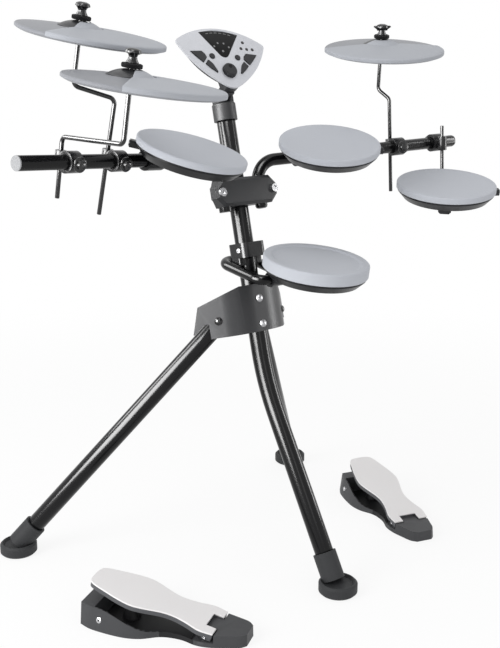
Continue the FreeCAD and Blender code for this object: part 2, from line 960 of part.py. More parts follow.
def cymbal_fittings(place):
    ball_centre = up * bell_centre
    hole = cylinder(rod_radius + fit_clearance, up * -bell_radius, up * (bell_radius + bell_radius))
    low_top = bell_inner - slip_clearance
    low_seat = bell_centre + low_top - low_felt_thickness
    low_felt = cylinder(low_felt_diameter / 2, up * low_seat, up * bell_height)
    low_felt = low_felt.common(Part.makeSphere(low_top, ball_centre)).cut(hole)
    felt_top = bell_height + felt_thickness
    felt = cylinder(felt_diameter / 2, origin, up * felt_top)
    felt = felt.cut(Part.makeSphere(bell_radius + slip_clearance, ball_centre)).cut(hole)
    return put(Part.makeCompound([low_felt, felt, wing_nut(felt_top)]), place)


def wing_nut(base):
    top = base + wing_nut_height
    waist = wing_nut_waist_diameter / 2
    body = revolved([(0, base), (wing_nut_base_diameter / 2, base), (waist, (base + top) / 2),
                     (wing_nut_top_diameter / 2, top - wing_nut_roof), (waist, top), (0, top)])
    wing = block(Vector(-wing_width / 2, -wing_thickness / 2, top - wing_height),
                 Vector(wing_width / 2, wing_thickness / 2, top - wing_nut_roof / 2))
    corners = [edge for edge in wing.Edges if abs(edge.tangentAt(edge.FirstParameter).y) > math.cos(1)]
    wing = wing.makeFillet(wing_thickness / 2, corners)
    bore = cylinder(rod_radius + fit_clearance, up * base, up * (top - wing_nut_roof))
    return body.fuse(wing).cut(bore).removeSplitter()


def cymbal_rod_seat(place):
    low_seat = bell_centre + bell_inner - slip_clearance - low_felt_thickness
    return place.multVec(up * low_seat)


def cymbal_rod_end(place):
    nut_base = bell_height + felt_thickness
    return place.multVec(up * (nut_base + wing_nut_height - wing_nut_roof - slip_clearance))


def cymbal_pivot(name):
    return cymbal_frame(name).multVec(up * bell_centre)


def cymbal_rod(name, clamp_place):
    place = cymbal_frame(name)
    drop, rise, upper = cymbal_rod_lengths[name]
    eye = clamp_place.multVec(away * rod_offset)
    axis = clamp_place.Rotation.multVec(up)
    seat = cymbal_rod_seat(place)
    seat_axis = place.Rotation.multVec(up)
    corners = [eye - axis * drop, eye + axis * rise, seat - seat_axis * upper, cymbal_rod_end(place)]
    rod = swept(bent_path(corners, rod_bend_radius), rod_radius)
    cup = cylinder(cup_diameter / 2, seat - seat_axis * cup_thickness, seat)
    return fused([rod, cup])


cymbal_places = {
    "crash": (crash_across, crash_depth, crash_height),
    "hihat": (hihat_across, hihat_depth, hihat_height),
    "ride": (ride_across, ride_depth, ride_height),
}
cymbal_tilts = {
    "crash": (crash_side_angle, crash_lean_angle),
    "hihat": (hihat_side_angle, hihat_lean_angle),
    "ride": (ride_side_angle, ride_lean_angle),
}
cymbal_turns = {"crash": crash_turn_angle, "hihat": hihat_turn_angle, "ride": ride_turn_angle}
cymbal_rod_lengths = {
    "crash": (crash_rod_drop, crash_rod_rise, crash_rod_upper),
    "hihat": (hihat_rod_drop, hihat_rod_rise, hihat_rod_upper),
    "ride": (ride_rod_drop, ride_rod_rise, ride_rod_upper),
}
clamp_places = {
    "crash": rod_clamp_frame(-1, crash_clamp_along, crash_lean_angle, 1),
    "hihat": rod_clamp_frame(-1, hihat_clamp_along, hihat_lean_angle, 1),
    "ride": rod_clamp_frame(1, ride_clamp_along, 0, 1),
    "tom3": rod_clamp_frame(1, tom3_clamp_along, 0, -1),
}

# Drum pads, drawn with the middle of the playing face at the origin

pad_places = {
    "tom1": frame(Vector(tom1_across, tom1_depth, tom1_height), across,
                  tilted_up(tom1_side_angle, tom1_lean_angle)),
    "tom2": frame(Vector(tom2_across, tom2_depth, tom2_height), across,
                  tilted_up(tom2_side_angle, tom2_lean_angle)),
    "tom3": frame(Vector(tom3_across, tom3_depth, tom3_height), across,
                  tilted_up(tom3_side_angle, tom3_lean_angle)),
    "snare": frame(Vector(snare_across, snare_depth, snare_height), across,
                   tilted_up(snare_side_angle, snare_lean_angle)),
}
pad_radius = pad_diameter / 2


def tom_rubber(place):
    under = pad_radius - pad_rubber_skirt
    cap = revolved([(0, 0), (pad_radius - pad_edge, 0), (pad_radius, -pad_edge),
                    (pad_radius, -pad_rubber_side), (under, -pad_rubber_side),
                    (under, -pad_rubber_thickness), (0, -pad_rubber_thickness)])
    return put(cap, place)


def snare_rubber(place):
    under = pad_radius - pad_rubber_skirt
    recess = pad_radius - snare_rim_width
    cap = revolved([(0, -snare_rim_depth), (recess - snare_rim_depth, -snare_rim_depth), (recess, 0),
                    (pad_radius - pad_edge, 0), (pad_radius, -pad_edge), (pad_radius, -snare_rubber_side),
                    (under, -snare_rubber_side), (under, -pad_rubber_thickness - snare_rim_depth),
                    (0, -pad_rubber_thickness - snare_rim_depth)])
    return put(cap, place)


def pad_tub(top, side, drop, jack_angle):
    seat = pad_radius - pad_rubber_skirt - fit_clearance
    shoulder = pad_radius - pad_base_inset
    foot = pad_radius - pad_base_taper
    wall = pad_base_wall
    core = pad_core_diameter / 2
    lip = side + fit_clearance
    tub = revolved([(0, -top), (core, -top), (core, -top - wall), (core - wall, -drop + wall),
                    (foot - wall, -drop + wall), (seat - wall, -lip), (seat - wall, -top), (seat, -top),
                    (seat, -lip), (shoulder, -lip), (shoulder, -lip - wall), (foot, -drop), (0, -drop)])
    jack = block(Vector(foot, -jack_width / 2, -lip - jack_height),
                 Vector(shoulder + jack_reach, jack_width / 2, -lip))
    corners = [edge for edge in jack.Edges if abs(edge.tangentAt(edge.FirstParameter).x) > math.cos(1)]
    jack = jack.makeChamfer(pad_edge, corners)
    jack.rotate(origin, up, jack_angle)
    return tub.fuse(jack).removeSplitter()


def tom_base(name, jack_angle):
    return put(pad_tub(pad_rubber_thickness + fit_clearance, pad_rubber_side, pad_base_drop, jack_angle),
               pad_places[name])


def tom3_base():
    tub = pad_tub(pad_rubber_thickness + fit_clearance, pad_rubber_side, pad_base_drop, tom3_jack_angle)
    body = put(tub, pad_places["tom3"])
    axis = tom3_rod_heading()
    centre = tom3_rod_centre()
    normal = pad_places["tom3"].Rotation.multVec(up)
    boss = block(Vector(-tom3_boss_width / 2, -tom3_boss_length / 2, -tom3_boss_height / 2),
                 Vector(tom3_boss_width / 2, tom3_boss_length / 2, tom3_boss_height / 2))
    corners = [edge for edge in boss.Edges if abs(edge.tangentAt(edge.FirstParameter).y) > math.cos(1)
               and edge.CenterOfMass.z < 0]
    boss = boss.makeChamfer(pad_base_wall, corners)
    boss = put(boss, frame(centre, axis.cross(normal), normal))
    reach = axis * (tom3_boss_length + cut_overrun)
    return fused([body, boss]).cut(cylinder(rod_radius + slip_clearance, centre - reach, centre + reach))


def tom3_rod_centre():
    return pad_places["tom3"].multVec(up * -(pad_base_drop + tom3_boss_height / 2))


def tom3_rod_corner():
    eye = clamp_places["tom3"].multVec(away * rod_offset)
    centre = tom3_rod_centre()
    normal = pad_places["tom3"].Rotation.multVec(up)
    axis = clamp_places["tom3"].Rotation.multVec(up)
    return eye - axis * ((eye - centre).dot(normal) / axis.dot(normal))


def tom3_rod_heading():
    return unit(tom3_rod_corner() - tom3_rod_centre())


def tom3_rod():
    eye = clamp_places["tom3"].multVec(away * rod_offset)
    start = eye + clamp_places["tom3"].Rotation.multVec(up) * tom3_rod_rise
    end = tom3_rod_centre() - tom3_rod_heading() * tom3_rod_tail
    path = bent_path([start, tom3_rod_corner(), end], rod_bend_radius)
    return swept(path, rod_radius)


def pad_bracket(place, drop, hub, heading, bar_radius, collar_diameter, collar_length):
    normal = place.Rotation.multVec(up)
    under = place.multVec(up * -(drop + fit_clearance))
    boss_end = under - normal * tom_boss_height
    half = heading * (collar_length / 2)
    collar = cylinder(collar_diameter / 2, hub - half, hub + half)
    boss = cylinder(tom_boss_diameter / 2, under, boss_end)
    start = boss_end + normal * (tom_neck_thickness / 2)
    run = hub - start
    neck = block(Vector(-tom_neck_width / 2, -tom_neck_thickness / 2, 0),
                 Vector(tom_neck_width / 2, tom_neck_thickness / 2, run.Length))
    neck = put(neck, frame(start, heading, run))
    bore = cylinder(bar_radius + slip_clearance, hub - half - half, hub + half + half)
    return fused([collar, boss, neck]).cut(bore)


def tom_hub(name, side):
    under = pad_places[name].multVec(up * -pad_base_drop)
    return arm_at(side, (under - arm_corner(side)).dot(arm_heading(side)))


def tom_bracket(name, side):
    return pad_bracket(pad_places[name], pad_base_drop, tom_hub(name, side), arm_heading(side) * side,
                       arm_radius, collar_diameter, tom_collar_length)


# Snare clamp, loop and pad


def loop_frame():
    normal = tilted_up(0, snare_lean_angle)
    return frame(post_at(snare_clamp_height) - normal * loop_drop, across, normal)


def loop_path():
    gap = loop_gap / 2
    wide = loop_half_width
    corners = [Vector(-gap, loop_back, 0), Vector(-wide, loop_back, 0), Vector(-wide, -loop_front, 0),
               Vector(wide, -loop_front, 0), Vector(wide, loop_back, 0), Vector(gap, loop_back, 0)]
    rounds = [loop_back_radius, loop_front_radius, loop_front_radius, loop_back_radius]
    edges = []
    start = corners[0]
    for corner, before, after, radius in zip(corners[1:], corners, corners[2:], rounds):
        bend = bent_path([before, corner, after], radius).Edges[1]
        edges.append(Part.makeLine(start, bend.valueAt(bend.FirstParameter)))
        edges.append(bend)
        start = bend.valueAt(bend.LastParameter)
    edges.append(Part.makeLine(start, corners[-1]))
    return Part.Wire(edges)


def snare_loop():
    return put(tube(loop_path(), loop_diameter / 2, loop_wall), loop_frame())


def snare_clamp():
    wide = snare_clamp_half_width
    outline = octagon(wide, snare_clamp_half_height, snare_clamp_chamfer, -snare_clamp_front)
    body = prism(outline, away * (snare_clamp_front + snare_clamp_rear))
    rim = [edge for edge in body.Edges
           if all(abs(vertex.Y + snare_clamp_front) < fit_clearance for vertex in edge.Vertexes)]
    body = body.makeChamfer(snare_clamp_chamfer / 2, rim)
    saddle = block(Vector(-saddle_reach, -saddle_length / 2, -loop_drop),
                   Vector(saddle_reach, saddle_length / 2, -saddle_top))
    body = fused([body, saddle])
    reach = up * (loop_drop + cut_overrun)
    body = body.cut(cylinder(tube_radius + slip_clearance, reach * -1, reach))
    body = put(body, post_frame(snare_clamp_height))
    groove = put(swept(loop_path(), loop_diameter / 2 + fit_clearance), loop_frame())
    return body.cut(groove)


def snare_hub():
    return loop_frame().multVec(Vector(0, -loop_front, 0))


def snare_base():
    place = pad_places["snare"]
    top = pad_rubber_thickness + snare_rim_depth + fit_clearance
    tub = put(pad_tub(top, snare_rubber_side, snare_base_drop, snare_jack_angle), place)
    bracket = pad_bracket(place, snare_base_drop - fit_clearance, snare_hub(), across, loop_diameter / 2,
                          snare_collar_diameter, snare_collar_length)
    return fused([tub, bracket])


# Sound module, its panel drawn in the XY plane with the lower tip at the origin


def mount_frame():
    top = post_frame(post_top_height)
    return Placement(top.Base, top.Rotation.multiply(Rotation(up, module_swivel_angle)))


def module_pin():
    return mount_frame().multVec(up * pin_rise)


def module_axis():
    return mount_frame().Rotation.multVec(across)


def module_frame():
    normal = turned(mount_frame().Rotation.multVec(up), module_axis(), module_tilt_angle)
    face = frame(module_pin(), module_axis(), normal)
    level = turned(module_axis(), normal, module_roll_angle)
    return frame(face.multVec(Vector(0, -module_tip_below_pin, module_pin_gap)), level, normal)


def fan_outline(inset):
    wide = module_half_width - inset
    high = module_corner_height
    chord = Vector(wide, high - inset, 0)
    bulge = Vector(chord.y, -chord.x, 0).normalize() * module_side_bulge
    left = Vector(-wide, high, 0)
    right = Vector(wide, high, 0)
    tip = Vector(0, inset, 0)
    top = Vector(0, module_top_height - inset, 0)
    right_mid = (right + tip) / 2 + bulge
    left_mid = Vector(-right_mid.x, right_mid.y, 0)
    edges = [Part.Arc(left, top, right).toShape(), Part.Arc(right, right_mid, tip).toShape(),
             Part.Arc(tip, left_mid, left).toShape()]
    return Part.Wire(edges)


def rounded_fan(inset, low, high):
    solid = Part.Face(fan_outline(inset)).extrude(up * (high - low))
    solid.translate(up * low)
    uprights = [edge for edge in solid.Edges if abs(edge.tangentAt(edge.FirstParameter).z) > math.cos(1)]
    tips = [edge for edge in uprights if abs(edge.CenterOfMass.x) < module_corner_radius]
    solid = solid.makeFillet(module_tip_radius - inset, tips)
    uprights = [edge for edge in solid.Edges if abs(edge.tangentAt(edge.FirstParameter).z) > math.cos(1)]
    corners = [edge for edge in uprights if abs(edge.CenterOfMass.x) > display_half_width]
    return solid.makeFillet(module_corner_radius, corners)


def display_face(inset):
    wide = display_half_width - inset
    top = display_top - inset
    radius = display_bottom_radius - inset
    centre = display_bottom + display_bottom_radius
    spread = math.atan2(wide, top - centre)
    lean = math.asin(radius / math.hypot(wide, top - centre))
    turn = spread - lean
    touch = Vector(radius * math.cos(turn), centre - radius * math.sin(turn), 0)
    left_touch = Vector(-touch.x, touch.y, 0)
    left = Vector(-wide, top, 0)
    right = Vector(wide, top, 0)
    crown = Vector(0, top + wide ** 2 / (module_half_width + module_half_width), 0)
    low = Vector(0, centre - radius, 0)
    edges = [Part.makeLine(right, touch), Part.Arc(touch, low, left_touch).toShape(),
             Part.makeLine(left_touch, left), Part.Arc(left, crown, right).toShape()]
    return Part.Face(Part.Wire(edges))


def key_face(side, name, gap):
    if name == "round":
        place = Vector(side * round_key_across, round_key_rise, 0)
        return Part.Face(Part.Wire(Part.makeCircle(round_key_diameter / 2 + gap, place)))
    if name == "upper":
        place = Vector(side * upper_key_across, upper_key_rise, 0)
        half = upper_key_length / 2 + gap
        deep = upper_key_width / 2 + gap
    else:
        place = Vector(side * lower_key_across, lower_key_rise, 0)
        half = lower_key_length / 2 + gap
        deep = lower_key_width / 2 + gap
    short = half * key_stem_share
    corners = [Vector(-half, -deep, 0), Vector(half, -deep, 0),
               Vector(short, deep, 0), Vector(-short, deep, 0)]
    wire = Part.makePolygon(corners + corners[:1])
    wire.rotate(origin, up, side * key_slope_angle)
    wire.translate(place)
    return Part.Face(wire)


key_names = ("upper", "lower", "round")


def module_panel():
    panel = rounded_fan(0, -panel_thickness, 0)
    window = display_face(-key_gap).extrude(up * (panel_thickness + cut_overrun))
    window.translate(up * -display_recess)
    panel = panel.cut(window)
    well = up * (panel_thickness + cut_overrun + cut_overrun)
    for side in (-1, 1):
        for name in key_names:
            hole = key_face(side, name, key_gap).extrude(well)
            hole.translate(up * -(panel_thickness + cut_overrun))
            panel = panel.cut(hole)
    shaft = Vector(0, dial_rise, 0)
    seat = shaft - up * (panel_thickness / 2)
    panel = panel.cut(cylinder(dial_diameter / 2 + key_gap, seat, shaft + up * cut_overrun))
    return put(panel, module_frame())


def display_window():
    glass = display_face(0).extrude(up * (display_recess / 2))
    glass.translate(up * -display_recess)
    return put(glass, module_frame())


def module_case():
    deep = panel_thickness + fit_clearance
    middle = deep + case_depth / 2
    upper = rounded_fan(0, -middle, -deep)
    lower = rounded_fan(case_taper, -deep - case_depth, -middle)
    body = upper.fuse(lower)
    for side in (-1, 1):
        for name in key_names:
            hole = key_face(side, name, key_gap).extrude(up * (key_well_depth + cut_overrun))
            hole.translate(up * -(deep + key_well_depth))
            body = body.cut(hole)
    body = put(body, module_frame())
    pin = module_pin()
    axis = module_axis()
    normal = module_frame().Rotation.multVec(up)
    half = axis * (tongue_width / 2)
    eye = cylinder(tongue_diameter / 2, pin - half, pin + half)
    reach = module_pin_gap - deep - case_depth / 2
    web = block(Vector(-tongue_width / 2, -tongue_diameter / 2, 0),
                Vector(tongue_width / 2, tongue_diameter / 2, reach))
    web = put(web, frame(pin, axis, normal))
    body = fused([body, eye, web])
    through = axis * sleeve_diameter
    return body.cut(cylinder(pin_diameter / 2 + slip_clearance, pin - through, pin + through))


def module_dial():
    base = -panel_thickness / 2 + slip_clearance
    radius = dial_diameter / 2
    knob = revolved([(0, base), (radius, base), (radius, dial_height - pad_edge),
                     (radius - pad_edge, dial_height), (0, dial_height)])
    step_angle = full_turn_angle / dial_grip_count
    for turn in range(dial_grip_count):
        place = turned(Vector(radius + dial_grip_diameter / 4, 0, 0), up, step_angle * turn)
        knob = knob.cut(cylinder(dial_grip_diameter / 2, place, place + up * (dial_height + cut_overrun)))
    knob.translate(Vector(0, dial_rise, 0))
    return put(knob, module_frame())


def module_key(side, name):
    floor = panel_thickness + fit_clearance + key_well_depth - key_travel - slip_clearance
    key = key_face(side, name, 0).extrude(up * (floor + key_proud))
    key.translate(up * -floor)
    rim = [edge for edge in key.Edges if abs(edge.CenterOfMass.z - key_proud) < fit_clearance]
    key = key.makeFillet(key_proud / 2, rim)
    return put(key, module_frame())


def module_mount():
    low = -sleeve_cover
    high = sleeve_height - sleeve_cover
    radius = sleeve_diameter / 2
    sleeve = revolved([(0, low), (radius, low), (radius, high - sleeve_edge),
                       (radius - sleeve_edge, high), (0, high)])
    sleeve = sleeve.cut(cylinder(tube_radius + fit_clearance, up * (low - cut_overrun), origin))
    pieces = [sleeve]
    for side in (-1, 1):
        inner = side * (tongue_width / 2 + slip_clearance)
        outer = inner + side * ear_thickness
        pieces.append(cylinder(ear_diameter / 2, Vector(inner, 0, pin_rise), Vector(outer, 0, pin_rise)))
        pieces.append(block(Vector(min(inner, outer), -ear_diameter / 2, 0),
                            Vector(max(inner, outer), ear_diameter / 2, pin_rise)))
    reach = tongue_width / 2 + ear_thickness + slip_clearance
    pieces.append(cylinder(pin_diameter / 2, Vector(-reach, 0, pin_rise), Vector(reach, 0, pin_rise)))
    return put(fused(pieces), mount_frame())


# Foot pedals, drawn along +Y from heel to toe

pedal_places = {
    "kick": (kick_heel_across, kick_heel_depth, kick_yaw_angle),
    "hihat": (hihat_heel_across, hihat_heel_depth, hihat_yaw_angle),
}


def pedal_frame(name):
    heel_across, heel_depth, yaw_angle = pedal_places[name]
    return Placement(Vector(heel_across, heel_depth, 0), Rotation(up, yaw_angle))


def mirrored(points):
    return [Vector(-point.x, point.y, point.z) for point in reversed(points)]


def smooth(points, first, last):
    curve = Part.BSplineCurve()
    curve.interpolate(Points=points, InitialTangent=first, FinalTangent=last)
    return curve.toShape()


def pedal_outline(inset):
    heel = pedal_heel_half_width - inset
    toe = pedal_toe_half_width - inset
    start = inset
    end = pedal_length - inset
    low = [Vector(heel - pedal_heel_chamfer, start, 0), Vector(heel, start + pedal_heel_chamfer, 0),
           Vector(heel, pedal_heel_run, 0)]
    curve = [low[-1], Vector(pedal_waist_half_width - inset, pedal_waist_place, 0),
             Vector(toe, pedal_widest_place, 0), Vector(toe, pedal_toe_run, 0)]
    high = [curve[-1], Vector(toe, end - pedal_toe_chamfer, 0), Vector(toe - pedal_toe_chamfer, end, 0)]
    nose = high[1:] + mirrored(high[1:])
    straight = [low, [high[0]] + nose + mirrored(high)[-1:], mirrored(low) + low[:1]]
    edges = []
    for run in straight:
        edges += [Part.makeLine(one, two) for one, two in zip(run, run[1:])]
    edges.append(smooth(curve, away, away))
    edges.append(smooth(mirrored(curve), away * -1, away * -1))
    return Part.Face(Part.Wire(Part.__sortEdges__(edges)))


def pedal_roof():
    wide = pedal_toe_half_width + cut_overrun
    over = pedal_toe_height + cut_overrun
    far = pedal_length + cut_overrun
    points = [(-cut_overrun, pedal_heel_height - pedal_heel_edge), (0, pedal_heel_height - pedal_heel_edge),
              (pedal_heel_edge, pedal_heel_height), (pedal_side_start, pedal_heel_height),
              (pedal_side_start, pedal_side_height), (pedal_rise_start, pedal_side_height)]
    after = [(pedal_toe_place, pedal_toe_height), (far, pedal_toe_height), (far, over), (-cut_overrun, over)]
    flat = [[Vector(-wide, along, height) for along, height in run] for run in (points, after)]
    middle = Vector(-wide, pedal_rise_middle, pedal_rise_middle_height)
    edges = [Part.Arc(flat[0][-1], middle, flat[1][0]).toShape(), Part.makeLine(flat[1][-1], flat[0][0])]
    for run in flat:
        edges += [Part.makeLine(one, two) for one, two in zip(run, run[1:])]
    return Part.Face(Part.Wire(Part.__sortEdges__(edges))).extrude(across * (wide + wide))


def pedal_pin_hole(radius):
    half = pedal_heel_half_width + cut_overrun
    place = Vector(0, board_hinge_place, board_hinge_height)
    return cylinder(radius, place - across * half, place + across * half)


def pedal_base(name):
    body = pedal_outline(0).extrude(up * (pedal_toe_height + cut_overrun)).cut(pedal_roof())
    tray = pedal_outline(pedal_wall).extrude(up * (pedal_toe_height + cut_overrun))
    tray.translate(up * pedal_floor)
    tray = tray.common(block(Vector(-pedal_toe_half_width, pedal_side_start, 0),
                             Vector(pedal_toe_half_width, pedal_length, pedal_length)))
    step = block(Vector(-pedal_step_half_width, pedal_step_start, pedal_step_height),
                 Vector(pedal_step_half_width, pedal_side_start + cut_overrun, pedal_length))
    tongue = block(Vector(-pedal_tongue_half_width, 0, 0),
                   Vector(pedal_tongue_half_width, pedal_tongue_end, pedal_length))
    body = body.cut(tray).cut(step.cut(tongue))
    body = body.cut(pedal_pin_hole(hinge_pin_diameter / 2 + fit_clearance))
    return put(body.removeSplitter(), pedal_frame(name))


def board_frame(name):
    pin = Vector(0, board_hinge_place, board_hinge_height)
    hinge = pedal_frame(name).multiply(Placement(pin, Rotation()))
    return hinge.multiply(Placement(origin, Rotation(across, board_angle)))


def board_outline(inset):
    heel = board_heel_half_width - inset
    right = [Vector(heel, board_heel_run, 0), Vector(board_waist_half_width - inset, board_waist_place, 0),
             Vector(board_toe_half_width - inset, board_widest_place, 0),
             Vector(board_shoulder_half_width - inset, board_shoulder_place - inset, 0)]
    tip = Vector(0, board_length - inset, 0)
    curve = smooth(right + [tip] + mirrored(right), away, away * -1)
    back = -board_heel_end
    notch = board_notch_half_width
    corner = Vector(heel, back, 0)
    lip = Vector(notch, back, 0)
    inner = Vector(notch, board_notch_end, 0)
    run = [right[0], corner, lip, inner]
    run = run + mirrored(run)
    edges = [Part.makeLine(one, two) for one, two in zip(run, run[1:])]
    return Part.Face(Part.Wire(Part.__sortEdges__([curve] + edges)))


def pedal_board(name):
    plate = board_outline(0).extrude(up * board_thickness)
    plate.translate(up * board_lift)
    ring = board_outline(board_skirt_inset).cut(board_outline(board_skirt_inset + board_skirt_wall))
    skirt = ring.extrude(up * -(board_skirt_depth + fit_clearance))
    skirt.translate(up * (board_lift + fit_clearance))
    skirt = skirt.common(block(Vector(-pedal_length, board_skirt_start, -pedal_length),
                               Vector(pedal_length, pedal_length, pedal_length)))
    pieces = [plate, skirt]
    for side in (-1, 1):
        low = min(side * knuckle_inner, side * knuckle_outer)
        high = max(side * knuckle_inner, side * knuckle_outer)
        pieces.append(cylinder(knuckle_diameter / 2, across * low, across * high))
        pieces.append(block(Vector(low, -knuckle_diameter / 2, 0),
                            Vector(high, knuckle_diameter / 2, board_lift + fit_clearance)))
    half = across * (pedal_heel_half_width + cut_overrun)
    body = fused(pieces).cut(cylinder(hinge_pin_diameter / 2 + slip_clearance, half * -1, half))
    return put(body, board_frame(name))


def pedal_fixings():
    pieces = []
    for name in pedal_places:
        place = Vector(0, board_hinge_place, board_hinge_height)
        half = across * pedal_heel_half_width
        pieces.append(put(cylinder(hinge_pin_diameter / 2, place - half, place + half), pedal_frame(name)))
        bolt = Vector(-pedal_toe_half_width, toe_bolt_place, toe_bolt_height)
        disc = cylinder(toe_bolt_diameter / 2, bolt, bolt - across * toe_bolt_thickness)
        pieces.append(put(disc, pedal_frame(name)))
    return Part.makeCompound(pieces)


def pedal_bumpers():
    pieces = []
    for name in pedal_places:
        foot = bumper_foot_diameter / 2
        head = bumper_head_diameter / 2
        shape = revolved([(0, pedal_floor), (foot, pedal_floor), (head, bumper_height - pedal_wall),
                          (head - pedal_wall, bumper_height), (0, bumper_height)])
        shape.translate(Vector(0, bumper_place, 0))
        pieces.append(put(shape, pedal_frame(name)))
    return Part.makeCompound(pieces)


def assemble():
    shapes = {"main_post": main_post(), "leg_bracket": leg_bracket(), "bracket_bolts": bracket_bolts()}
    ground = front_foot_ground()
    shapes["front_foot"] = rubber_foot(ground, front_foot_seat(), front_leg_up())
    for side, name in ((-1, "left"), (1, "right")):
        shapes[name + "_leg"] = rear_leg(side)
        shapes[name + "_foot"] = rubber_foot(leg_ground(side), leg_seat(side), leg_up(side))
    shapes["clamp_front"] = clamp_front()
    shapes["clamp_rear"] = clamp_rear()
    shapes["clamp_bolts"] = clamp_bolts()
    shapes["left_arm"] = arm_tube(-1)
    shapes["left_arm_cap"] = left_arm_cap()
    shapes["right_arm"] = right_arm()
    for name, place in clamp_places.items():
        shapes[name + "_clamp"] = rod_clamp(place)
    for name in cymbal_places:
        place = cymbal_frame(name)
        shapes[name + "_rod"] = cymbal_rod(name, clamp_places[name])
        shapes[name + "_cymbal"] = cymbal(place)
        shapes[name + "_strike"] = cymbal_strike(place)
        shapes[name + "_fittings"] = cymbal_fittings(place)
    shapes["tom3_rod"] = tom3_rod()
    shapes["tom1_base"] = tom_base("tom1", tom1_jack_angle)
    shapes["tom2_base"] = tom_base("tom2", tom2_jack_angle)
    shapes["tom3_base"] = tom3_base()
    shapes["snare_base"] = snare_base()
    for name in ("tom1", "tom2", "tom3"):
        shapes[name + "_rubber"] = tom_rubber(pad_places[name])
    shapes["snare_rubber"] = snare_rubber(pad_places["snare"])
    shapes["tom1_bracket"] = tom_bracket("tom1", -1)
    shapes["tom2_bracket"] = tom_bracket("tom2", 1)
    shapes["snare_clamp"] = snare_clamp()
    shapes["snare_loop"] = snare_loop()
    shapes["module_mount"] = module_mount()
    shapes["module_panel"] = module_panel()
    shapes["module_case"] = module_case()
    shapes["display_window"] = display_window()
    shapes["module_dial"] = module_dial()
    for side, word in ((-1, "left"), (1, "right")):
        for name in key_names:
            shapes[word + "_" + name + "_key"] = module_key(side, name)
    for name in pedal_places:
        shapes[name + "_pedal"] = pedal_base(name)
        shapes[name + "_board"] = pedal_board(name)
    shapes["pedal_fixings"] = pedal_fixings()
    shapes["pedal_bumpers"] = pedal_bumpers()
    return shapes


def main():
    os.makedirs("parts", exist_ok=True)
    shapes = assemble()
    whole = Part.makeCompound(list(shapes.values())).BoundBox
    shift = Vector(-whole.Center.x, -whole.Center.y, -whole.ZMin)
    for name, shape in shapes.items():
        shape.translate(shift)
        shape.exportStep(os.path.join("parts", name + ".step"))
    print("pieces", len(shapes), "size", round(whole.XLength), round(whole.YLength), round(whole.ZLength))


if __name__ == "__main__":
    main()
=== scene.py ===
import json
import math
import bmesh
import bpy
from mathutils import Matrix, Quaternion, Vector


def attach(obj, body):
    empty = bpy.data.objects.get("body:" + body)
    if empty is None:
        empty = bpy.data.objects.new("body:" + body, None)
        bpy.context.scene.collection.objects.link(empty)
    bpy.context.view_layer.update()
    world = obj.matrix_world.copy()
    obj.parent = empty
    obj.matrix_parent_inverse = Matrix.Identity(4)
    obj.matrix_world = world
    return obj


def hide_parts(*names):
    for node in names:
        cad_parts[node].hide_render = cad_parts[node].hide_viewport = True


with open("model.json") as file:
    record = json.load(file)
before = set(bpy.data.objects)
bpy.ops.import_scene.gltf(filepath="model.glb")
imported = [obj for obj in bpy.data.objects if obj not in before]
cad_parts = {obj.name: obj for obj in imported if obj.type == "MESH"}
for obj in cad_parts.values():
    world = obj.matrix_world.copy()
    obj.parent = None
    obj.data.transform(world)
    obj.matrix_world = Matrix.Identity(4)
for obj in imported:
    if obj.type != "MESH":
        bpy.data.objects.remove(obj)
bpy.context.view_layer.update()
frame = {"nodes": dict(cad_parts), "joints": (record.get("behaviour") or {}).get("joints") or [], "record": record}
nodes = frame["nodes"]
joints = {joint["name"]: joint for joint in frame["joints"]}
soles = {mount["name"]: Vector(mount["pos_m"]) for mount in frame["record"]["mounts"]}
across, away, up = Vector((1, 0, 0)), Vector((0, 1, 0)), Vector((0, 0, 1))
print("frame loaded,", len(nodes), "nodes")

# Everything is laid out in metres from a point on the floor; +X is the drummer's right, +Y away, +Z up
rack = {
    "frontFoot": Vector((0, -0.155, 0)),
    "knee": Vector((0, 0.066, 0.3878)),
    "postLean": 13.2,
    "postTop": 0.9415,
    "tubeRadius": 0.019,
    "kneeBend": 0.48,
    "legFoot": Vector((0.400, 0.415, 0)),
    "legPivot": Vector((0.045, 0.14876, 0.510)),
    "legTop": 0.027,
    "footAxis": 0.020,
    "socket": 0.010,
    "sides": 56,
}
kitOrigin = soles["front_sole"] - rack["frontFoot"]
lean = math.radians(rack["postLean"])
postUp = Vector((0, math.sin(lean), math.cos(lean)))


def spot(vector):
    return kitOrigin + Vector(vector)


def seat(place, xAxis, zAxis):  # a matrix that puts local Z on zAxis and local X near xAxis
    z = zAxis.normalized()
    y = z.cross(xAxis).normalized()
    matrix = Matrix((y.cross(z), y, z)).transposed().to_4x4()
    matrix.translation = place
    return matrix


def turned(vector, axis, degrees):
    return Quaternion(axis, math.radians(degrees)) @ Vector(vector)


def tiltedUp(side, leaning):
    return Vector((math.tan(math.radians(side)), -math.tan(math.radians(leaning)), 1)).normalized()


def postAt(height):
    return spot(rack["knee"]) + postUp * ((height - rack["knee"].z) / postUp.z)


def jointPlace(name):
    return Vector(joints[name]["pos_m"])


def jointAxis(name):
    return Vector(joints[name]["axis"]).normalized()


# Shared surface effects, each one node group

def feed(tree, socket, value):  # a number or a colour is set, a socket is linked
    if isinstance(value, (int, float)):
        socket.default_value = value
    elif isinstance(value, tuple):
        socket.default_value = (*value, 1.0)
    elif value is not None:
        tree.links.new(value, socket)


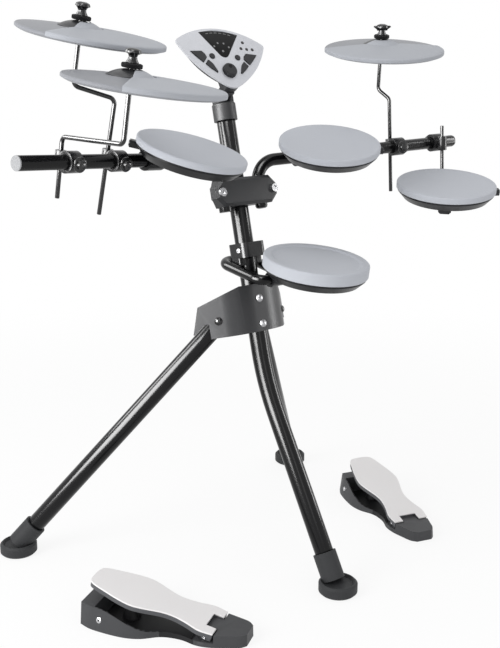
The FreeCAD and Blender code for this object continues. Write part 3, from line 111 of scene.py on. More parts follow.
def newGroup(name, inputs, outputs):  # every effect takes coordinates and values, and puts out values
    group = bpy.data.node_groups.new(name, "ShaderNodeTree")
    group.interface.new_socket(name="Coordinates", in_out="INPUT", socket_type="NodeSocketVector")
    for label, value in inputs.items():
        socket = group.interface.new_socket(name=label, in_out="INPUT", socket_type="NodeSocketFloat")
        socket.default_value = value
    for label in outputs:
        group.interface.new_socket(name=label, in_out="OUTPUT", socket_type="NodeSocketFloat")
    return group, group.nodes.new("NodeGroupInput").outputs, group.nodes.new("NodeGroupOutput").inputs


def addMath(tree, operation, first, second=None, clamp=False):
    node = tree.nodes.new("ShaderNodeMath")
    node.operation, node.use_clamp = operation, clamp
    feed(tree, node.inputs[0], first)
    feed(tree, node.inputs[1], second)
    return node.outputs[0]


def addNoise(tree, vector, scale, detail, roughness):
    node = tree.nodes.new("ShaderNodeTexNoise")
    for label, value in (("Vector", vector), ("Scale", scale), ("Detail", detail), ("Roughness", roughness)):
        feed(tree, node.inputs[label], value)
    return node.outputs["Fac"]


def addCells(tree, start, feature="F1"):
    node = tree.nodes.new("ShaderNodeTexVoronoi")
    node.feature = feature
    tree.links.new(start["Coordinates"], node.inputs["Vector"])
    tree.links.new(start["Pitch"], node.inputs["Scale"])
    return node.outputs


def makeGrain():  # moulded texture: fine pits for the bump and a slow drift for the colour
    group, start, end = newGroup("mouldGrain", {"Pitch": 900.0, "Drift": 9.0}, ("Height", "Mottle"))
    fine = addNoise(group, start["Coordinates"], start["Pitch"], 2.0, 0.6)
    pits = addMath(group, "MULTIPLY", addCells(group, start, "SMOOTH_F1")["Distance"], 0.5)
    group.links.new(addMath(group, "ADD", addMath(group, "MULTIPLY", fine, 0.6), pits), end["Height"])
    group.links.new(addNoise(group, start["Coordinates"], start["Drift"], 5.0, 0.6), end["Mottle"])
    return group


def makeHandling():  # hands and cloths leave the gloss uneven: smudges and hairline rubs
    group, start, end = newGroup("handlingMarks", {"Roughness": 0.4, "Amount": 0.1}, ("Roughness",))
    smudge = addNoise(group, start["Coordinates"], 22.0, 6.0, 0.65)
    mapping = group.nodes.new("ShaderNodeMapping")
    mapping.inputs["Scale"].default_value = (60.0, 700.0, 240.0)
    mapping.inputs["Rotation"].default_value = (0.4, 0.7, 0.9)
    group.links.new(start["Coordinates"], mapping.inputs["Vector"])
    rubs = addNoise(group, mapping.outputs["Vector"], 1.0, 2.0, 0.5)
    mixed = addMath(group, "ADD", addMath(group, "MULTIPLY", smudge, 0.75), addMath(group, "MULTIPLY", rubs, 0.25))
    swing = addMath(group, "MULTIPLY", addMath(group, "SUBTRACT", mixed, 0.5), start["Amount"])
    group.links.new(addMath(group, "ADD", start["Roughness"], swing, True), end["Roughness"])
    return group


def makeRubbed():  # worn outer corners, and colour darkened in the inner corners
    group, start, end = newGroup("rubbedCorners", {}, ("Wear", "Hollows"))
    point = group.nodes.new("ShaderNodeNewGeometry").outputs["Pointiness"]
    patch = addNoise(group, start["Coordinates"], 70.0, 4.0, 0.7)
    for label, first, second in (("Wear", point, 0.53), ("Hollows", 0.48, point)):
        edge = addMath(group, "MULTIPLY", addMath(group, "SUBTRACT", first, second), 7.0, True)
        group.links.new(addMath(group, "MULTIPLY", edge, patch, True), end[label])
    return group


def makeFlake():  # metal flake in silver paint
    group, start, end = newGroup("paintFlake", {"Pitch": 1500.0}, ("Sparkle",))
    split = group.nodes.new("ShaderNodeSeparateColor")
    group.links.new(addCells(group, start)["Color"], split.inputs["Color"])
    group.links.new(addMath(group, "POWER", split.outputs["Red"], 2.0), end["Sparkle"])
    return group


effects = {"grain": makeGrain(), "handling": makeHandling(), "rubbed": makeRubbed(), "flake": makeFlake()}


def addGroup(tree, effect, coordinates, **values):
    node = tree.nodes.new("ShaderNodeGroup")
    node.node_tree = effects[effect]
    tree.links.new(coordinates, node.inputs["Coordinates"])
    for label, value in values.items():
        node.inputs[label].default_value = value
    return node.outputs


def mixColour(tree, factor, first, second):
    node = tree.nodes.new("ShaderNodeMix")
    node.data_type = "RGBA"
    for index, value in ((0, factor), (6, first), (7, second)):  # where a mix node keeps its colours
        feed(tree, node.inputs[index], value)
    return node.outputs[2]


def shaded(colour, share):
    return tuple(min(1.0, channel * share) for channel in colour)


def makeFinish(name, colour, vary=0.1, rough=0.4, roughVary=0.14, pitch=1200, bump=0.1, depth=0.0002, metal=0.0,
               coat=0.0, coatRough=0.1, sheen=0.0, wear=0.3, wearColour=None, hollowDark=0.25, level=0.5, flake=0.0,
               drift=9.0):
    material = bpy.data.materials.new(name)
    material.use_nodes = True
    tree = material.node_tree
    shader = tree.nodes["Principled BSDF"].inputs
    place = tree.nodes.new("ShaderNodeTexCoord").outputs["Object"]
    grain = addGroup(tree, "grain", place, Pitch=pitch, Drift=drift)
    rubbed = addGroup(tree, "rubbed", place)
    base = mixColour(tree, grain["Mottle"], shaded(colour, 1 - vary), shaded(colour, 1 + vary))
    if flake:
        sparkle = addGroup(tree, "flake", place)["Sparkle"]
        base = mixColour(tree, addMath(tree, "MULTIPLY", sparkle, flake), base, shaded(colour, 1.5))
    worn = wearColour or shaded(colour, 1.8)
    base = mixColour(tree, addMath(tree, "MULTIPLY", rubbed["Wear"], wear), base, worn)
    # The inner corners are darkened to 55% of the colour
    base = mixColour(tree, addMath(tree, "MULTIPLY", rubbed["Hollows"], hollowDark), base, shaded(colour, 0.55))
    lift = tree.nodes.new("ShaderNodeBump")
    lift.inputs["Strength"].default_value = bump
    lift.inputs["Distance"].default_value = depth
    tree.links.new(grain["Height"], lift.inputs["Height"])
    handling = addGroup(tree, "handling", place, Roughness=rough, Amount=roughVary)
    values = {"Base Color": base, "Roughness": handling["Roughness"], "Normal": lift.outputs["Normal"],
              "Metallic": metal, "Coat Weight": coat, "Coat Roughness": coatRough, "Sheen Weight": sheen,
              "Specular IOR Level": level}
    for label, value in values.items():
        feed(tree, shader[label], value)
    return material


finishRows = {
    "tubePaint": dict(colour=(0.004, 0.004, 0.0046), vary=0.15, rough=0.2, roughVary=0.04, pitch=420, bump=0.001,
        level=0.22, wear=0.1, wearColour=(0.03, 0.03, 0.032)),
    "rodPaint": dict(colour=(0.006, 0.006, 0.0065), vary=0.15, rough=0.2, roughVary=0.04, pitch=700, bump=0.001,
        level=0.5, wear=0.1, wearColour=(0.05, 0.05, 0.05)),
    "bracketPaint": dict(colour=(0.026, 0.0265, 0.029), vary=0.12, rough=0.38, pitch=1500, bump=0.1, level=0.3,
        wear=0.4, wearColour=(0.2, 0.2, 0.21)),
    "clampPlastic": dict(colour=(0.016, 0.0165, 0.0185), vary=0.14, rough=0.46, roughVary=0.16, pitch=1300, bump=0.18,
        level=0.3, wear=0.45, wearColour=(0.1, 0.1, 0.11)),
    "collarPlastic": dict(colour=(0.010, 0.010, 0.011), vary=0.14, rough=0.26, roughVary=0.1, bump=0.06, level=0.3,
        wear=0.4, wearColour=(0.13, 0.13, 0.14)),
    "footRubber": dict(colour=(0.031, 0.032, 0.034), vary=0.2, rough=0.6, roughVary=0.16, pitch=1100, bump=0.22,
        level=0.3, wear=0.35, wearColour=(0.12, 0.12, 0.125), hollowDark=0.5),
    "padRubber": dict(colour=(0.472, 0.490, 0.530), vary=0.022, rough=0.58, pitch=1700, bump=0.2, depth=0.00025,
        sheen=0.04, wear=0.15, hollowDark=0.4, level=0.12, drift=14.0),
    "strikeRubber": dict(colour=(0.385, 0.400, 0.432), vary=0.022, rough=0.58, pitch=1700, bump=0.2, depth=0.00025,
        sheen=0.04, wear=0.15, hollowDark=0.4, level=0.12),
    "cymbalPlastic": dict(colour=(0.255, 0.262, 0.283), vary=0.03, rough=0.42, pitch=1500, bump=0.14, level=0.15,
        wear=0.2, hollowDark=0.5),
    "bellPlastic": dict(colour=(0.020, 0.0205, 0.023), vary=0.12, rough=0.34, pitch=1300, bump=0.12, wear=0.4,
        wearColour=(0.12, 0.12, 0.13)),
    "tubPlastic": dict(colour=(0.0065, 0.0068, 0.0078), vary=0.14, rough=0.33, bump=0.12, level=0.28, wear=0.35,
        wearColour=(0.09, 0.09, 0.1)),
    "knobPlastic": dict(colour=(0.006, 0.006, 0.0066), vary=0.14, rough=0.28, roughVary=0.12, bump=0.08, level=0.3,
        wear=0.4, wearColour=(0.1, 0.1, 0.1)),
    "felt": dict(colour=(0.008, 0.008, 0.009), vary=0.5, rough=0.95, roughVary=0.05, pitch=2600, bump=1.0,
        depth=0.0012, sheen=0.12, wear=0.5, wearColour=(0.04, 0.04, 0.04), drift=160.0, level=0.1),
    "brightSteel": dict(colour=(0.50, 0.50, 0.51), vary=0.05, rough=0.24, pitch=900, bump=0.05, metal=1.0, wear=0.1,
        hollowDark=0.6),
    "dullSteel": dict(colour=(0.36, 0.36, 0.37), vary=0.06, rough=0.42, roughVary=0.12, pitch=900, bump=0.06,
        metal=1.0, wear=0.1, hollowDark=0.6),
    "capPlastic": dict(colour=(0.34, 0.345, 0.355), vary=0.03, rough=0.42, roughVary=0.12, pitch=1300, bump=0.12,
        wear=0.1, hollowDark=0.4),
    "silverPaint": dict(colour=(0.461, 0.470, 0.500), vary=0.025, rough=0.36, roughVary=0.1, pitch=1900, bump=0.08,
        metal=0.18, coat=0.25, coatRough=0.2, wear=0.25, flake=0.35),
    "casePlastic": dict(colour=(0.030, 0.0305, 0.0335), level=0.3, vary=0.12, rough=0.44, pitch=1300, bump=0.2,
        wear=0.5, wearColour=(0.16, 0.16, 0.17)),
    "displayGloss": dict(colour=(0.004, 0.004, 0.0045), vary=0.2, rough=0.3, roughVary=0.1, pitch=500, bump=0.01,
        level=0.15, wear=0.05),
    "displayPrint": dict(colour=(0.16, 0.16, 0.165), vary=0.2, rough=0.4, pitch=900, bump=0.05, roughVary=0.12),
    "lampLens": dict(colour=(0.020, 0.016, 0.018), vary=0.1, rough=0.2, pitch=900, bump=0.02, level=0.4,
        roughVary=0.12),
    "keyPlastic": dict(colour=(0.017, 0.0175, 0.0195), level=0.3, vary=0.14, rough=0.4, pitch=1600, bump=0.16,
        wear=0.5, wearColour=(0.12, 0.12, 0.13)),
    "pedalPlastic": dict(colour=(0.046, 0.047, 0.050), level=0.3, vary=0.1, rough=0.5, bump=0.25, wear=0.5,
        wearColour=(0.18, 0.18, 0.19), hollowDark=0.4),
    "skirtPlastic": dict(colour=(0.085, 0.087, 0.093), level=0.3, vary=0.1, rough=0.5, bump=0.2, wear=0.4, hollowDark=0.4),
    "boardPlastic": dict(colour=(0.79, 0.775, 0.775), vary=0.02, rough=0.5, roughVary=0.12, pitch=1500, bump=0.16,
        level=0.15, wear=0.1, hollowDark=0.5),
    # Near-black painted shade, put on the inside of the pedal trays and on the bumpers there, where they lie in shadow
    "boardUnder": dict(colour=(0.008, 0.008, 0.009), level=0.3, vary=0.15, rough=0.5, bump=0.16, wear=0.3),
}
finishes = {name: makeFinish(name, **row) for name, row in finishRows.items()}
print("finishes made,", len(finishes))


# Modelling helpers, all on bmesh operators

def edgesIn(geometry):
    return [item for item in geometry if isinstance(item, bmesh.types.BMEdge)]


def vertsIn(geometry):
    return [item for item in geometry if isinstance(item, bmesh.types.BMVert)]


def spun(profile, steps=96):
    bm = bmesh.new()
    verts = [bm.verts.new((radius, 0, height)) for radius, height in profile]
    edges = [bm.edges.new(pair) for pair in zip(verts, verts[1:])]
    bmesh.ops.spin(bm, geom=verts + edges, cent=(0, 0, 0), axis=(0, 0, 1), angle=math.tau, steps=steps, use_merge=True)
    bmesh.ops.remove_doubles(bm, verts=bm.verts, dist=1e-6)
    bmesh.ops.recalc_face_normals(bm, faces=bm.faces)
    return bm


def softenEdges(bm, width, segments=2, angle=28):
    bm.normal_update()
    sharp = [edge for edge in bm.edges if edge.is_manifold and edge.calc_face_angle() > math.radians(angle)]
    bmesh.ops.bevel(bm, geom=sharp, offset=width, offset_type="OFFSET", segments=segments, profile=0.5,
                    affect="EDGES", clamp_overlap=True, material=-1)
    return bm


def nodeCopy(name, flat=0.8):
    bm = bmesh.new()
    bm.from_mesh(nodes[name].data)
    bmesh.ops.remove_doubles(bm, verts=bm.verts, dist=2e-6)
    bmesh.ops.dissolve_limit(bm, angle_limit=math.radians(flat), verts=bm.verts, edges=bm.edges)
    return bm


def moved(bm, step):
    bmesh.ops.translate(bm, verts=bm.verts, vec=step)
    return bm


def pushRing(bm, ring, step):
    grown = bmesh.ops.extrude_edge_only(bm, edges=ring)["geom"]
    bmesh.ops.translate(bm, verts=vertsIn(grown), vec=step)
    return edgesIn(grown)


def sweepRing(bm, corners, bends):  # straight runs are extruded, bends are spun
    ring = list(bm.edges)
    at = corners[0]
    for index in range(1, len(corners) - 1):
        corner = corners[index]
        into = (corner - corners[index - 1]).normalized()
        out = (corners[index + 1] - corner).normalized()
        angle = into.angle(out)
        back = bends[index - 1] * math.tan(angle / 2)
        start = corner - into * back
        ring = pushRing(bm, ring, start - at)
        centre = start + (out - into * out.dot(into)).normalized() * bends[index - 1]
        steps = max(6, int(math.degrees(angle) / 3))
        turn = bmesh.ops.spin(bm, geom=ring, cent=centre, axis=into.cross(out).normalized(), angle=angle, steps=steps)
        ring = edgesIn(turn["geom_last"])
        at = corner + out * back
    pushRing(bm, ring, corners[-1] - at)
    bmesh.ops.remove_doubles(bm, verts=bm.verts, dist=1e-7)


def bentTube(corners, bends, radius, sides, lip=0.0012):
    bm = bmesh.new()
    heading = (corners[1] - corners[0]).normalized()
    place = Matrix.Translation(corners[0]) @ heading.to_track_quat("Z", "Y").to_matrix().to_4x4()
    bmesh.ops.create_circle(bm, cap_ends=False, radius=radius, segments=sides, matrix=place)
    sweepRing(bm, corners, bends)
    bmesh.ops.holes_fill(bm, edges=[edge for edge in bm.edges if edge.is_boundary], sides=sides)
    bmesh.ops.recalc_face_normals(bm, faces=bm.faces)
    return softenEdges(bm, lip, 2, 60)


def prismOf(points, reach):  # a closed prism from a flat outline
    bm = bmesh.new()
    face = bm.faces.new([bm.verts.new(point) for point in points])
    grown = bmesh.ops.extrude_face_region(bm, geom=[face])["geom"]
    bmesh.ops.translate(bm, verts=vertsIn(grown), vec=reach)
    bmesh.ops.recalc_face_normals(bm, faces=bm.faces)
    return bm


def mixedSolid(first, second, operation="DIFFERENCE"):  # exact boolean of two closed bmeshes
    holders = []
    for bm in (first, second):
        mesh = bpy.data.meshes.new("mixing")
        bm.to_mesh(mesh)
        bm.free()
        holders.append(bpy.data.objects.new("mixing", mesh))
        bpy.context.scene.collection.objects.link(holders[-1])
    modifier = holders[0].modifiers.new("mix", "BOOLEAN")
    modifier.object, modifier.operation, modifier.solver = holders[1], operation, "EXACT"
    graph = bpy.context.evaluated_depsgraph_get()
    mesh = bpy.data.meshes.new_from_object(holders[0].evaluated_get(graph))
    result = bmesh.new()
    result.from_mesh(mesh)
    bpy.data.meshes.remove(mesh)
    for holder in holders:
        data = holder.data
        bpy.data.objects.remove(holder)
        bpy.data.meshes.remove(data)
    return result


def drum(radius, low, high, steps=64):
    return spun([(0, low), (radius, low), (radius, high), (0, high)], steps)


def roundedBlock(low, high, width, segments=3):
    bm = bmesh.new()
    size = Vector(high) - Vector(low)
    place = Matrix.Translation((Vector(low) + Vector(high)) / 2) @ Matrix.Diagonal((*size, 1))
    bmesh.ops.create_cube(bm, size=1, matrix=place)
    return softenEdges(bm, width, segments)


def keepFront(bm, line):  # cut a closed shape at y = line, keep the drummer's side and close it
    geometry = bm.verts[:] + bm.edges[:] + bm.faces[:]
    cut = bmesh.ops.bisect_plane(bm, geom=geometry, dist=1e-7, plane_co=(0, line, 0), plane_no=(0, 1, 0),
                                 clear_outer=True)
    bmesh.ops.edgeloop_fill(bm, edges=[edge for edge in edgesIn(cut["geom_cut"]) if edge.is_boundary])
    bmesh.ops.recalc_face_normals(bm, faces=bm.faces)
    return bm


def spaced(first, last, steps):
    return [first + (last - first) * step / steps for step in range(steps + 1)]


def arcRun(centre, radius, first, last, steps):  # (radius, height) points on an arc, angles in degrees
    turns = [math.radians(angle) for angle in spaced(first, last, steps)]
    return [(centre[0] + radius * math.cos(turn), centre[1] + radius * math.sin(turn)) for turn in turns]


# The softboxes give streaks on these black and bright finishes alone, so the pads stay matt from every side
streaked = bpy.data.collections.new("streaked")
streakedFinishes = {"tubePaint", "rodPaint", "collarPlastic", "clampPlastic", "knobPlastic", "bracketPaint",
                    "brightSteel", "dullSteel"}


def finishPiece(name, bm, finish, body, slot, stands=(), place=None, sharp=38):
    if place is not None:
        bmesh.ops.transform(bm, matrix=place, verts=bm.verts)
    mesh = bpy.data.meshes.new(name)
    bm.to_mesh(mesh)
    bm.free()
    for polygon in mesh.polygons:
        polygon.use_smooth = True
    mesh.set_sharp_from_angle(angle=math.radians(sharp))
    piece = bpy.data.objects.new(name, mesh)
    bpy.context.scene.collection.objects.link(piece)
    labels = [finish] if isinstance(finish, str) else finish
    for label in labels:
        mesh.materials.append(finishes[label])
    if streakedFinishes.intersection(labels):
        streaked.objects.link(piece)
    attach(piece, body)
    if stands:
        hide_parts(*stands)
    return piece


def flatPiece(*values, **named):  # large flat faces keep their own normal, bevels take up the turn
    weight = finishPiece(*values, **named).modifiers.new("evenNormals", "WEIGHTED_NORMAL")
    weight.keep_sharp = True


def softCopy(node, finish, body, slot, width, segments=2):
    bm = softenEdges(nodeCopy(node), width, segments)
    flatPiece(node + "Soft", bm, finish, body, slot, [node])


# Rack tubes

bothSides = ((-1, "left"), (1, "right"))


def tubePiece(name, tube, body, node):
    finishPiece(name, tube, "tubePaint", body, "black_tube", [node])


def rodPiece(name, rod, body):
    finishPiece(name, rod, "rodPaint", body, "dark_rod", [body])


def frontLegUp():
    return (rack["knee"] - rack["frontFoot"]).normalized()


def frontSeat():
    rise = frontLegUp()
    return spot(rack["frontFoot"]) + rise * (rack["footAxis"] / rise.z)


def legPivot(side):
    return spot((side * rack["legPivot"].x, rack["legPivot"].y, rack["legPivot"].z))


def legPoints(side):
    foot = spot((side * rack["legFoot"].x, rack["legFoot"].y, rack["footAxis"]))
    pivot = legPivot(side)
    rise = (pivot - foot).normalized()
    return foot + rise * rack["socket"], pivot + rise * rack["legTop"]


postCorners = [frontSeat() + frontLegUp() * rack["socket"], spot(rack["knee"]), postAt(rack["postTop"])]
postTube = bentTube(postCorners, [rack["kneeBend"]], rack["tubeRadius"], rack["sides"])
tubePiece("postTube", postTube, "stand", "main_post")
for side, word in bothSides:
    tube = bentTube(list(legPoints(side)), [], rack["tubeRadius"], rack["sides"])
    tubePiece(word + "LegTube", tube, word + "_leg", word + "_leg")

arms = {
    "radius": 0.0127, "bend": 0.045, "length": 0.494, "across": 0.048, "forward": 0.015, "clampHeight": 0.767,
    "tail": 0.038, "cornerHeight": {-1: 0.838, 1: 0.828}, "sweep": {-1: 10.8, 1: 15.0},
    "dome": {-1: 0, 1: 0.008}, "lip": {-1: 0.0012, 1: 0.0055}, "sides": 48,
}
postBack = postUp.cross(across).normalized()


def armStub(side):
    return postAt(arms["clampHeight"]) + across * (side * arms["across"]) - postBack * arms["forward"]


def armHeading(side):
    return turned(across * side, postUp, -side * arms["sweep"][side])


def armCorner(side):
    stub = armStub(side)
    return stub + postUp * ((spot((0, 0, arms["cornerHeight"][side])).z - stub.z) / postUp.z)


for side, word in bothSides:
    reach = arms["length"] + arms["dome"][side]
    run = [armStub(side) - postUp * arms["tail"], armCorner(side), armCorner(side) + armHeading(side) * reach]
    tube = bentTube(run, [arms["bend"]], arms["radius"], arms["sides"], arms["lip"][side])
    tubePiece(word + "ArmTube", tube, word + "_arm", word + "_arm")

loop = {"drop": 0.031, "halfWidth": 0.038, "back": 0.033, "front": -0.097, "gap": 0.001, "radius": 0.010,
        "bends": [0.030, 0.022, 0.022, 0.030], "height": 0.652, "lean": 9.0, "sides": 40}
loopUp = tiltedUp(0, loop["lean"])
loopPlace = seat(postAt(loop["height"]) - loopUp * loop["drop"], across, loopUp)
wide = loop["halfWidth"]
loopCorners = [(-loop["gap"], loop["back"]), (-wide, loop["back"]), (-wide, loop["front"]), (wide, loop["front"]),
               (wide, loop["back"]), (loop["gap"], loop["back"])]
loopCorners = [loopPlace @ Vector((x, y, 0)) for x, y in loopCorners]
loopTube = bentTube(loopCorners, loop["bends"], loop["radius"], loop["sides"])
tubePiece("snareLoopTube", loopTube, "snare_arm", "snare_loop")
print("tubes bent")

# Cymbal pads: the rocking joints give their places

cymbals = {
    "crash": {"tilt": (3.8, 11.8), "drop": 0.106, "rise": 0.104, "upper": 0.092},
    "hihat": {"tilt": (3.8, 8.6), "drop": 0.068, "rise": 0.038, "upper": 0.098},
    "ride": {"tilt": (-7.7, 9.7), "drop": 0.101, "rise": 0.102, "upper": 0.092},
}
cymbalShape = {
    "radius": 0.127, "bow": 0.008, "bowPower": 1.4, "edge": 0.006, "plate": 0.008, "bevel": 0.008, "bevelDrop": 0.003,
    "offset": 0.022, "bellRadius": 0.035, "bellHeight": 0.010, "bellWall": 0.005, "hole": 0.010,
    "rubber": 0.0025, "line": 0.008, "housingRadius": 0.031, "housingDrop": 0.009, "housingPlace": 0.066,
    "rodRadius": 0.004, "rodBend": 0.012, "rodTop": 0.0337, "cupRadius": 0.013, "cupDepth": 0.003, "cupBore": 0.0042,
    "cupEdge": 0.0006, "lowFelt": 0.012, "feltGap": 0.0003, "rodSides": 24, "rodLip": 0.0008, "bellGap": 0.0015,
    "rubberGap": 0.0045, "through": (-0.05, 0.05), "tongueLift": 0.0016, "tongueFrom": 0.0172, "tongueLap": 0.0008,
    "tongueWall": 0.0015, "tongueFoot": -0.0028, "bellFoot": -0.008,
}
bellBall = (cymbalShape["bellRadius"] ** 2 + cymbalShape["bellHeight"] ** 2) / (2 * cymbalShape["bellHeight"])
bellCentre = cymbalShape["bellHeight"] - bellBall
lowSeat = bellCentre + bellBall - cymbalShape["bellWall"] - cymbalShape["feltGap"] - cymbalShape["lowFelt"]


def cymbalPlace(name):
    normal = tiltedUp(*cymbals[name]["tilt"])
    return seat(jointPlace(name + "_rock") - normal * bellCentre, jointAxis(name + "_rock"), normal)


def cymbalRod(name):
    place = cymbalPlace(name)
    normal = place.to_3x3() @ up
    eye, axis = jointPlace(name + "_rod_swivel"), jointAxis(name + "_rod_swivel")
    cup = place @ (up * lowSeat)
    size = cymbals[name]
    corners = [eye - axis * size["drop"], eye + axis * size["rise"], cup - normal * size["upper"],
               place @ (up * cymbalShape["rodTop"])]
    bends = [cymbalShape["rodBend"]] * 2
    bar = bentTube(corners, bends, cymbalShape["rodRadius"], cymbalShape["rodSides"], cymbalShape["rodLip"])
    rodPiece(name + "RodBar", bar, name + "_rod")
    radius, depth, bore, edge = (cymbalShape[label] for label in ("cupRadius", "cupDepth", "cupBore", "cupEdge"))
    disc = spun([(bore, -depth), (radius - edge, -depth), (radius, -depth + edge), (radius, -edge),
                 (radius - edge, 0), (bore, 0), (bore, -depth)], 48)
    finishPiece(name + "RodCup", moved(disc, up * lowSeat), "rodPaint", name + "_rod", "dark_rod", place=place)


for name in cymbals:
    cymbalRod(name)
print("rods bent")


def slopeAt(radius):
    return -cymbalShape["bow"] * (radius / cymbalShape["radius"]) ** cymbalShape["bowPower"]


def slopeRun(start, end, lift, steps=14):
    return [(radius, slopeAt(radius) + lift) for radius in spaced(start, end, steps)]


def cymbalPlate():
    size = cymbalShape
    rim, low = size["radius"], slopeAt(size["radius"]) - size["edge"]
    inner = rim - size["bevel"]
    profile = slopeRun(0, rim - 0.0015, 0) + [(rim, slopeAt(rim) - 0.0015), (rim, low + 0.001), (rim - 0.001, low)]
    profile += [(inner, low - size["bevelDrop"]), (inner - 0.002, low - size["bevelDrop"])]
    profile += [(inner - size["bevel"], slopeAt(inner) - size["plate"]), (0, -size["plate"])]
    plate = spun(profile, 128)
    under = slopeAt(size["housingPlace"]) - size["plate"]
    radius, drop = size["housingRadius"], size["housingDrop"]
    bulge = [(0, under + 0.003), (radius, under + 0.003), (radius, under)]
    bulge += arcRun((radius - 0.010, under - drop + 0.007), 0.0070, 0, -90, 8)[1:] + [(0, under - drop - 0.0004)]
    housing = moved(spun(bulge, 72), (0, -size["housingPlace"], 0))
    plate = moved(mixedSolid(plate, housing, "UNION"), (0, -size["offset"], 0))
    return mixedSolid(plate, drum(size["bellRadius"] + size["bellGap"], *size["through"]))


def bellShell(lift, start, end, wall):  # a thin ball cap, from the hole out to its rim
    outer, radii = bellBall + lift, spaced(start, end, 14)
    top = [(radius, bellCentre + math.sqrt(outer ** 2 - radius ** 2)) for radius in radii]
    below = [(radius, bellCentre + math.sqrt((outer - wall) ** 2 - radius ** 2)) for radius in reversed(radii)]
    return top, below


def cymbalBell():
    size = cymbalShape
    rim = size["bellRadius"]
    top, below = bellShell(0, size["hole"], rim, size["bellWall"])
    skirt = [(rim + 0.0012, top[-1][1] - 0.0006), (rim + 0.003, top[-1][1] - 0.0012), (rim + 0.003, size["bellFoot"]),
             (rim - 0.0025, size["bellFoot"])]
    return spun(top + skirt + below[1:] + top[:1], 72)


def cymbalRubber():
    size = cymbalShape
    rim, thick = size["radius"] + 0.0012, size["rubber"]
    low = slopeAt(size["radius"]) - size["edge"] + 0.0004
    edge = slopeAt(size["radius"]) + thick
    profile = slopeRun(0, rim - 0.003, thick)
    profile += arcRun((rim - 0.003, edge - 0.003), 0.003, 75, 0, 6)
    profile += [(rim, low + 0.0008), (rim - 0.0004, low), (size["radius"] + 0.0001, low)]
    profile += [(size["radius"] + 0.0001, slopeAt(size["radius"]) + 0.0002)]
    profile += list(reversed(slopeRun(0, size["radius"] - 0.002, 0.0002)))
    rubber = keepFront(moved(spun(profile, 128), (0, -size["offset"], 0)), -size["line"])
    return mixedSolid(rubber, drum(size["bellRadius"] + size["rubberGap"], *size["through"]))


def cymbalTongue():
    size = cymbalShape
    rim, low = size["bellRadius"], size["tongueFoot"]
    top, below = bellShell(size["tongueLift"], size["tongueFrom"], rim + size["tongueLap"], size["tongueWall"])
    foot = [(rim + 0.0030, top[-1][1] - 0.0006), (rim + 0.0062, top[-1][1] - 0.0009), (rim + 0.0066, low),
            (rim + 0.0032, low)]
    return keepFront(spun(top + foot + below + top[:1], 72), -size["line"])


fittings = {
    "feltRadius": 0.0165, "feltDepth": 0.008, "feltLift": 0.0008, "feltDish": -0.0004, "lowRadius": 0.015,
    "lowSquash": 0.0018, "bore": 0.0043, "plump": 0.32, "nutHeight": 0.022, "nutBase": 0.0095, "nutWaist": 0.0065,
    "nutTop": 0.0128, "wing": (0.038, 0.008, 0.013), "wingTop": 0.003, "wingFoot": 0.009, "wingDraw": (0.62, 0.9, 1.0),
}


def feltRing(radius, low, high, sag):  # washers of pressed felt, with plump edges
    bore, plump = fittings["bore"], (high - low) * fittings["plump"]
    profile = [(bore, low + sag), (radius - plump, low)] + arcRun((radius - plump, low + plump), plump, -80, 0, 5)
    profile += arcRun((radius - plump, high - plump), plump, 0, 80, 5) + [(radius - plump, high), (bore, high)]
    return spun(profile + profile[:1], 56)


def wingNut(base):
    size = fittings
    top = base + size["nutHeight"]
    body = [(0, base), (size["nutBase"], base), (size["nutBase"] + 0.0006, base + 0.0012)]
    body += [(size["nutWaist"] + 0.0008, base + 0.006), (size["nutWaist"], base + 0.010)]
    body += [(size["nutWaist"] + 0.0012, base + 0.013), (size["nutTop"], top - 0.0065), (size["nutTop"], top - 0.0055)]
    body += [(size["nutTop"] - 0.0015, top - 0.002), (size["nutWaist"], top), (0, top)]
    wide, thick, tall = size["wing"]
    wing = roundedBlock((-wide / 2, -thick / 2, top - tall), (wide / 2, thick / 2, top - size["wingTop"]), 0.0026)
    inner = [vert for vert in wing.verts if vert.co.z < top - size["wingFoot"]]
    bmesh.ops.scale(wing, vec=size["wingDraw"], verts=inner)
    return softenEdges(mixedSolid(spun(body, 48), wing, "UNION"), 0.0004, 2, 32)


for name in cymbals:
    place = cymbalPlace(name)
    finishPiece(name + "Plate", cymbalPlate(), "cymbalPlastic", name, "cymbal_plastic", [name + "_cymbal"], place)
    finishPiece(name + "Bell", cymbalBell(), "bellPlastic", name, "cymbal_plastic", place=place)
    rubber = finishPiece(name + "Rubber", softenEdges(cymbalRubber(), 0.0005, 2, 40), "strikeRubber", name,
                         "pad_rubber", [name + "_strike"], place)
    finishPiece(name + "Tongue", softenEdges(cymbalTongue(), 0.0004, 2, 40), "strikeRubber", name, "pad_rubber",
                place=place)
    lowTop = lowSeat + cymbalShape["lowFelt"] - fittings["lowSquash"]
    feltLow = cymbalShape["bellHeight"] + fittings["feltLift"]  # room for the rock
    feltTop = cymbalShape["bellHeight"] + fittings["feltDepth"]
    finishPiece(name + "LowFelt", feltRing(fittings["lowRadius"], lowSeat, lowTop, 0.0), "felt", name + "_rod", "felt",
                [name + "_fittings"], place)
    finishPiece(name + "TopFelt", feltRing(fittings["feltRadius"], feltLow, feltTop, fittings["feltDish"]), "felt",
                name + "_rod", "felt", place=place)
    finishPiece(name + "WingNut", wingNut(feltTop), "knobPlastic", name + "_rod", "felt", place=place)
print("cymbals made")

# Drum pads

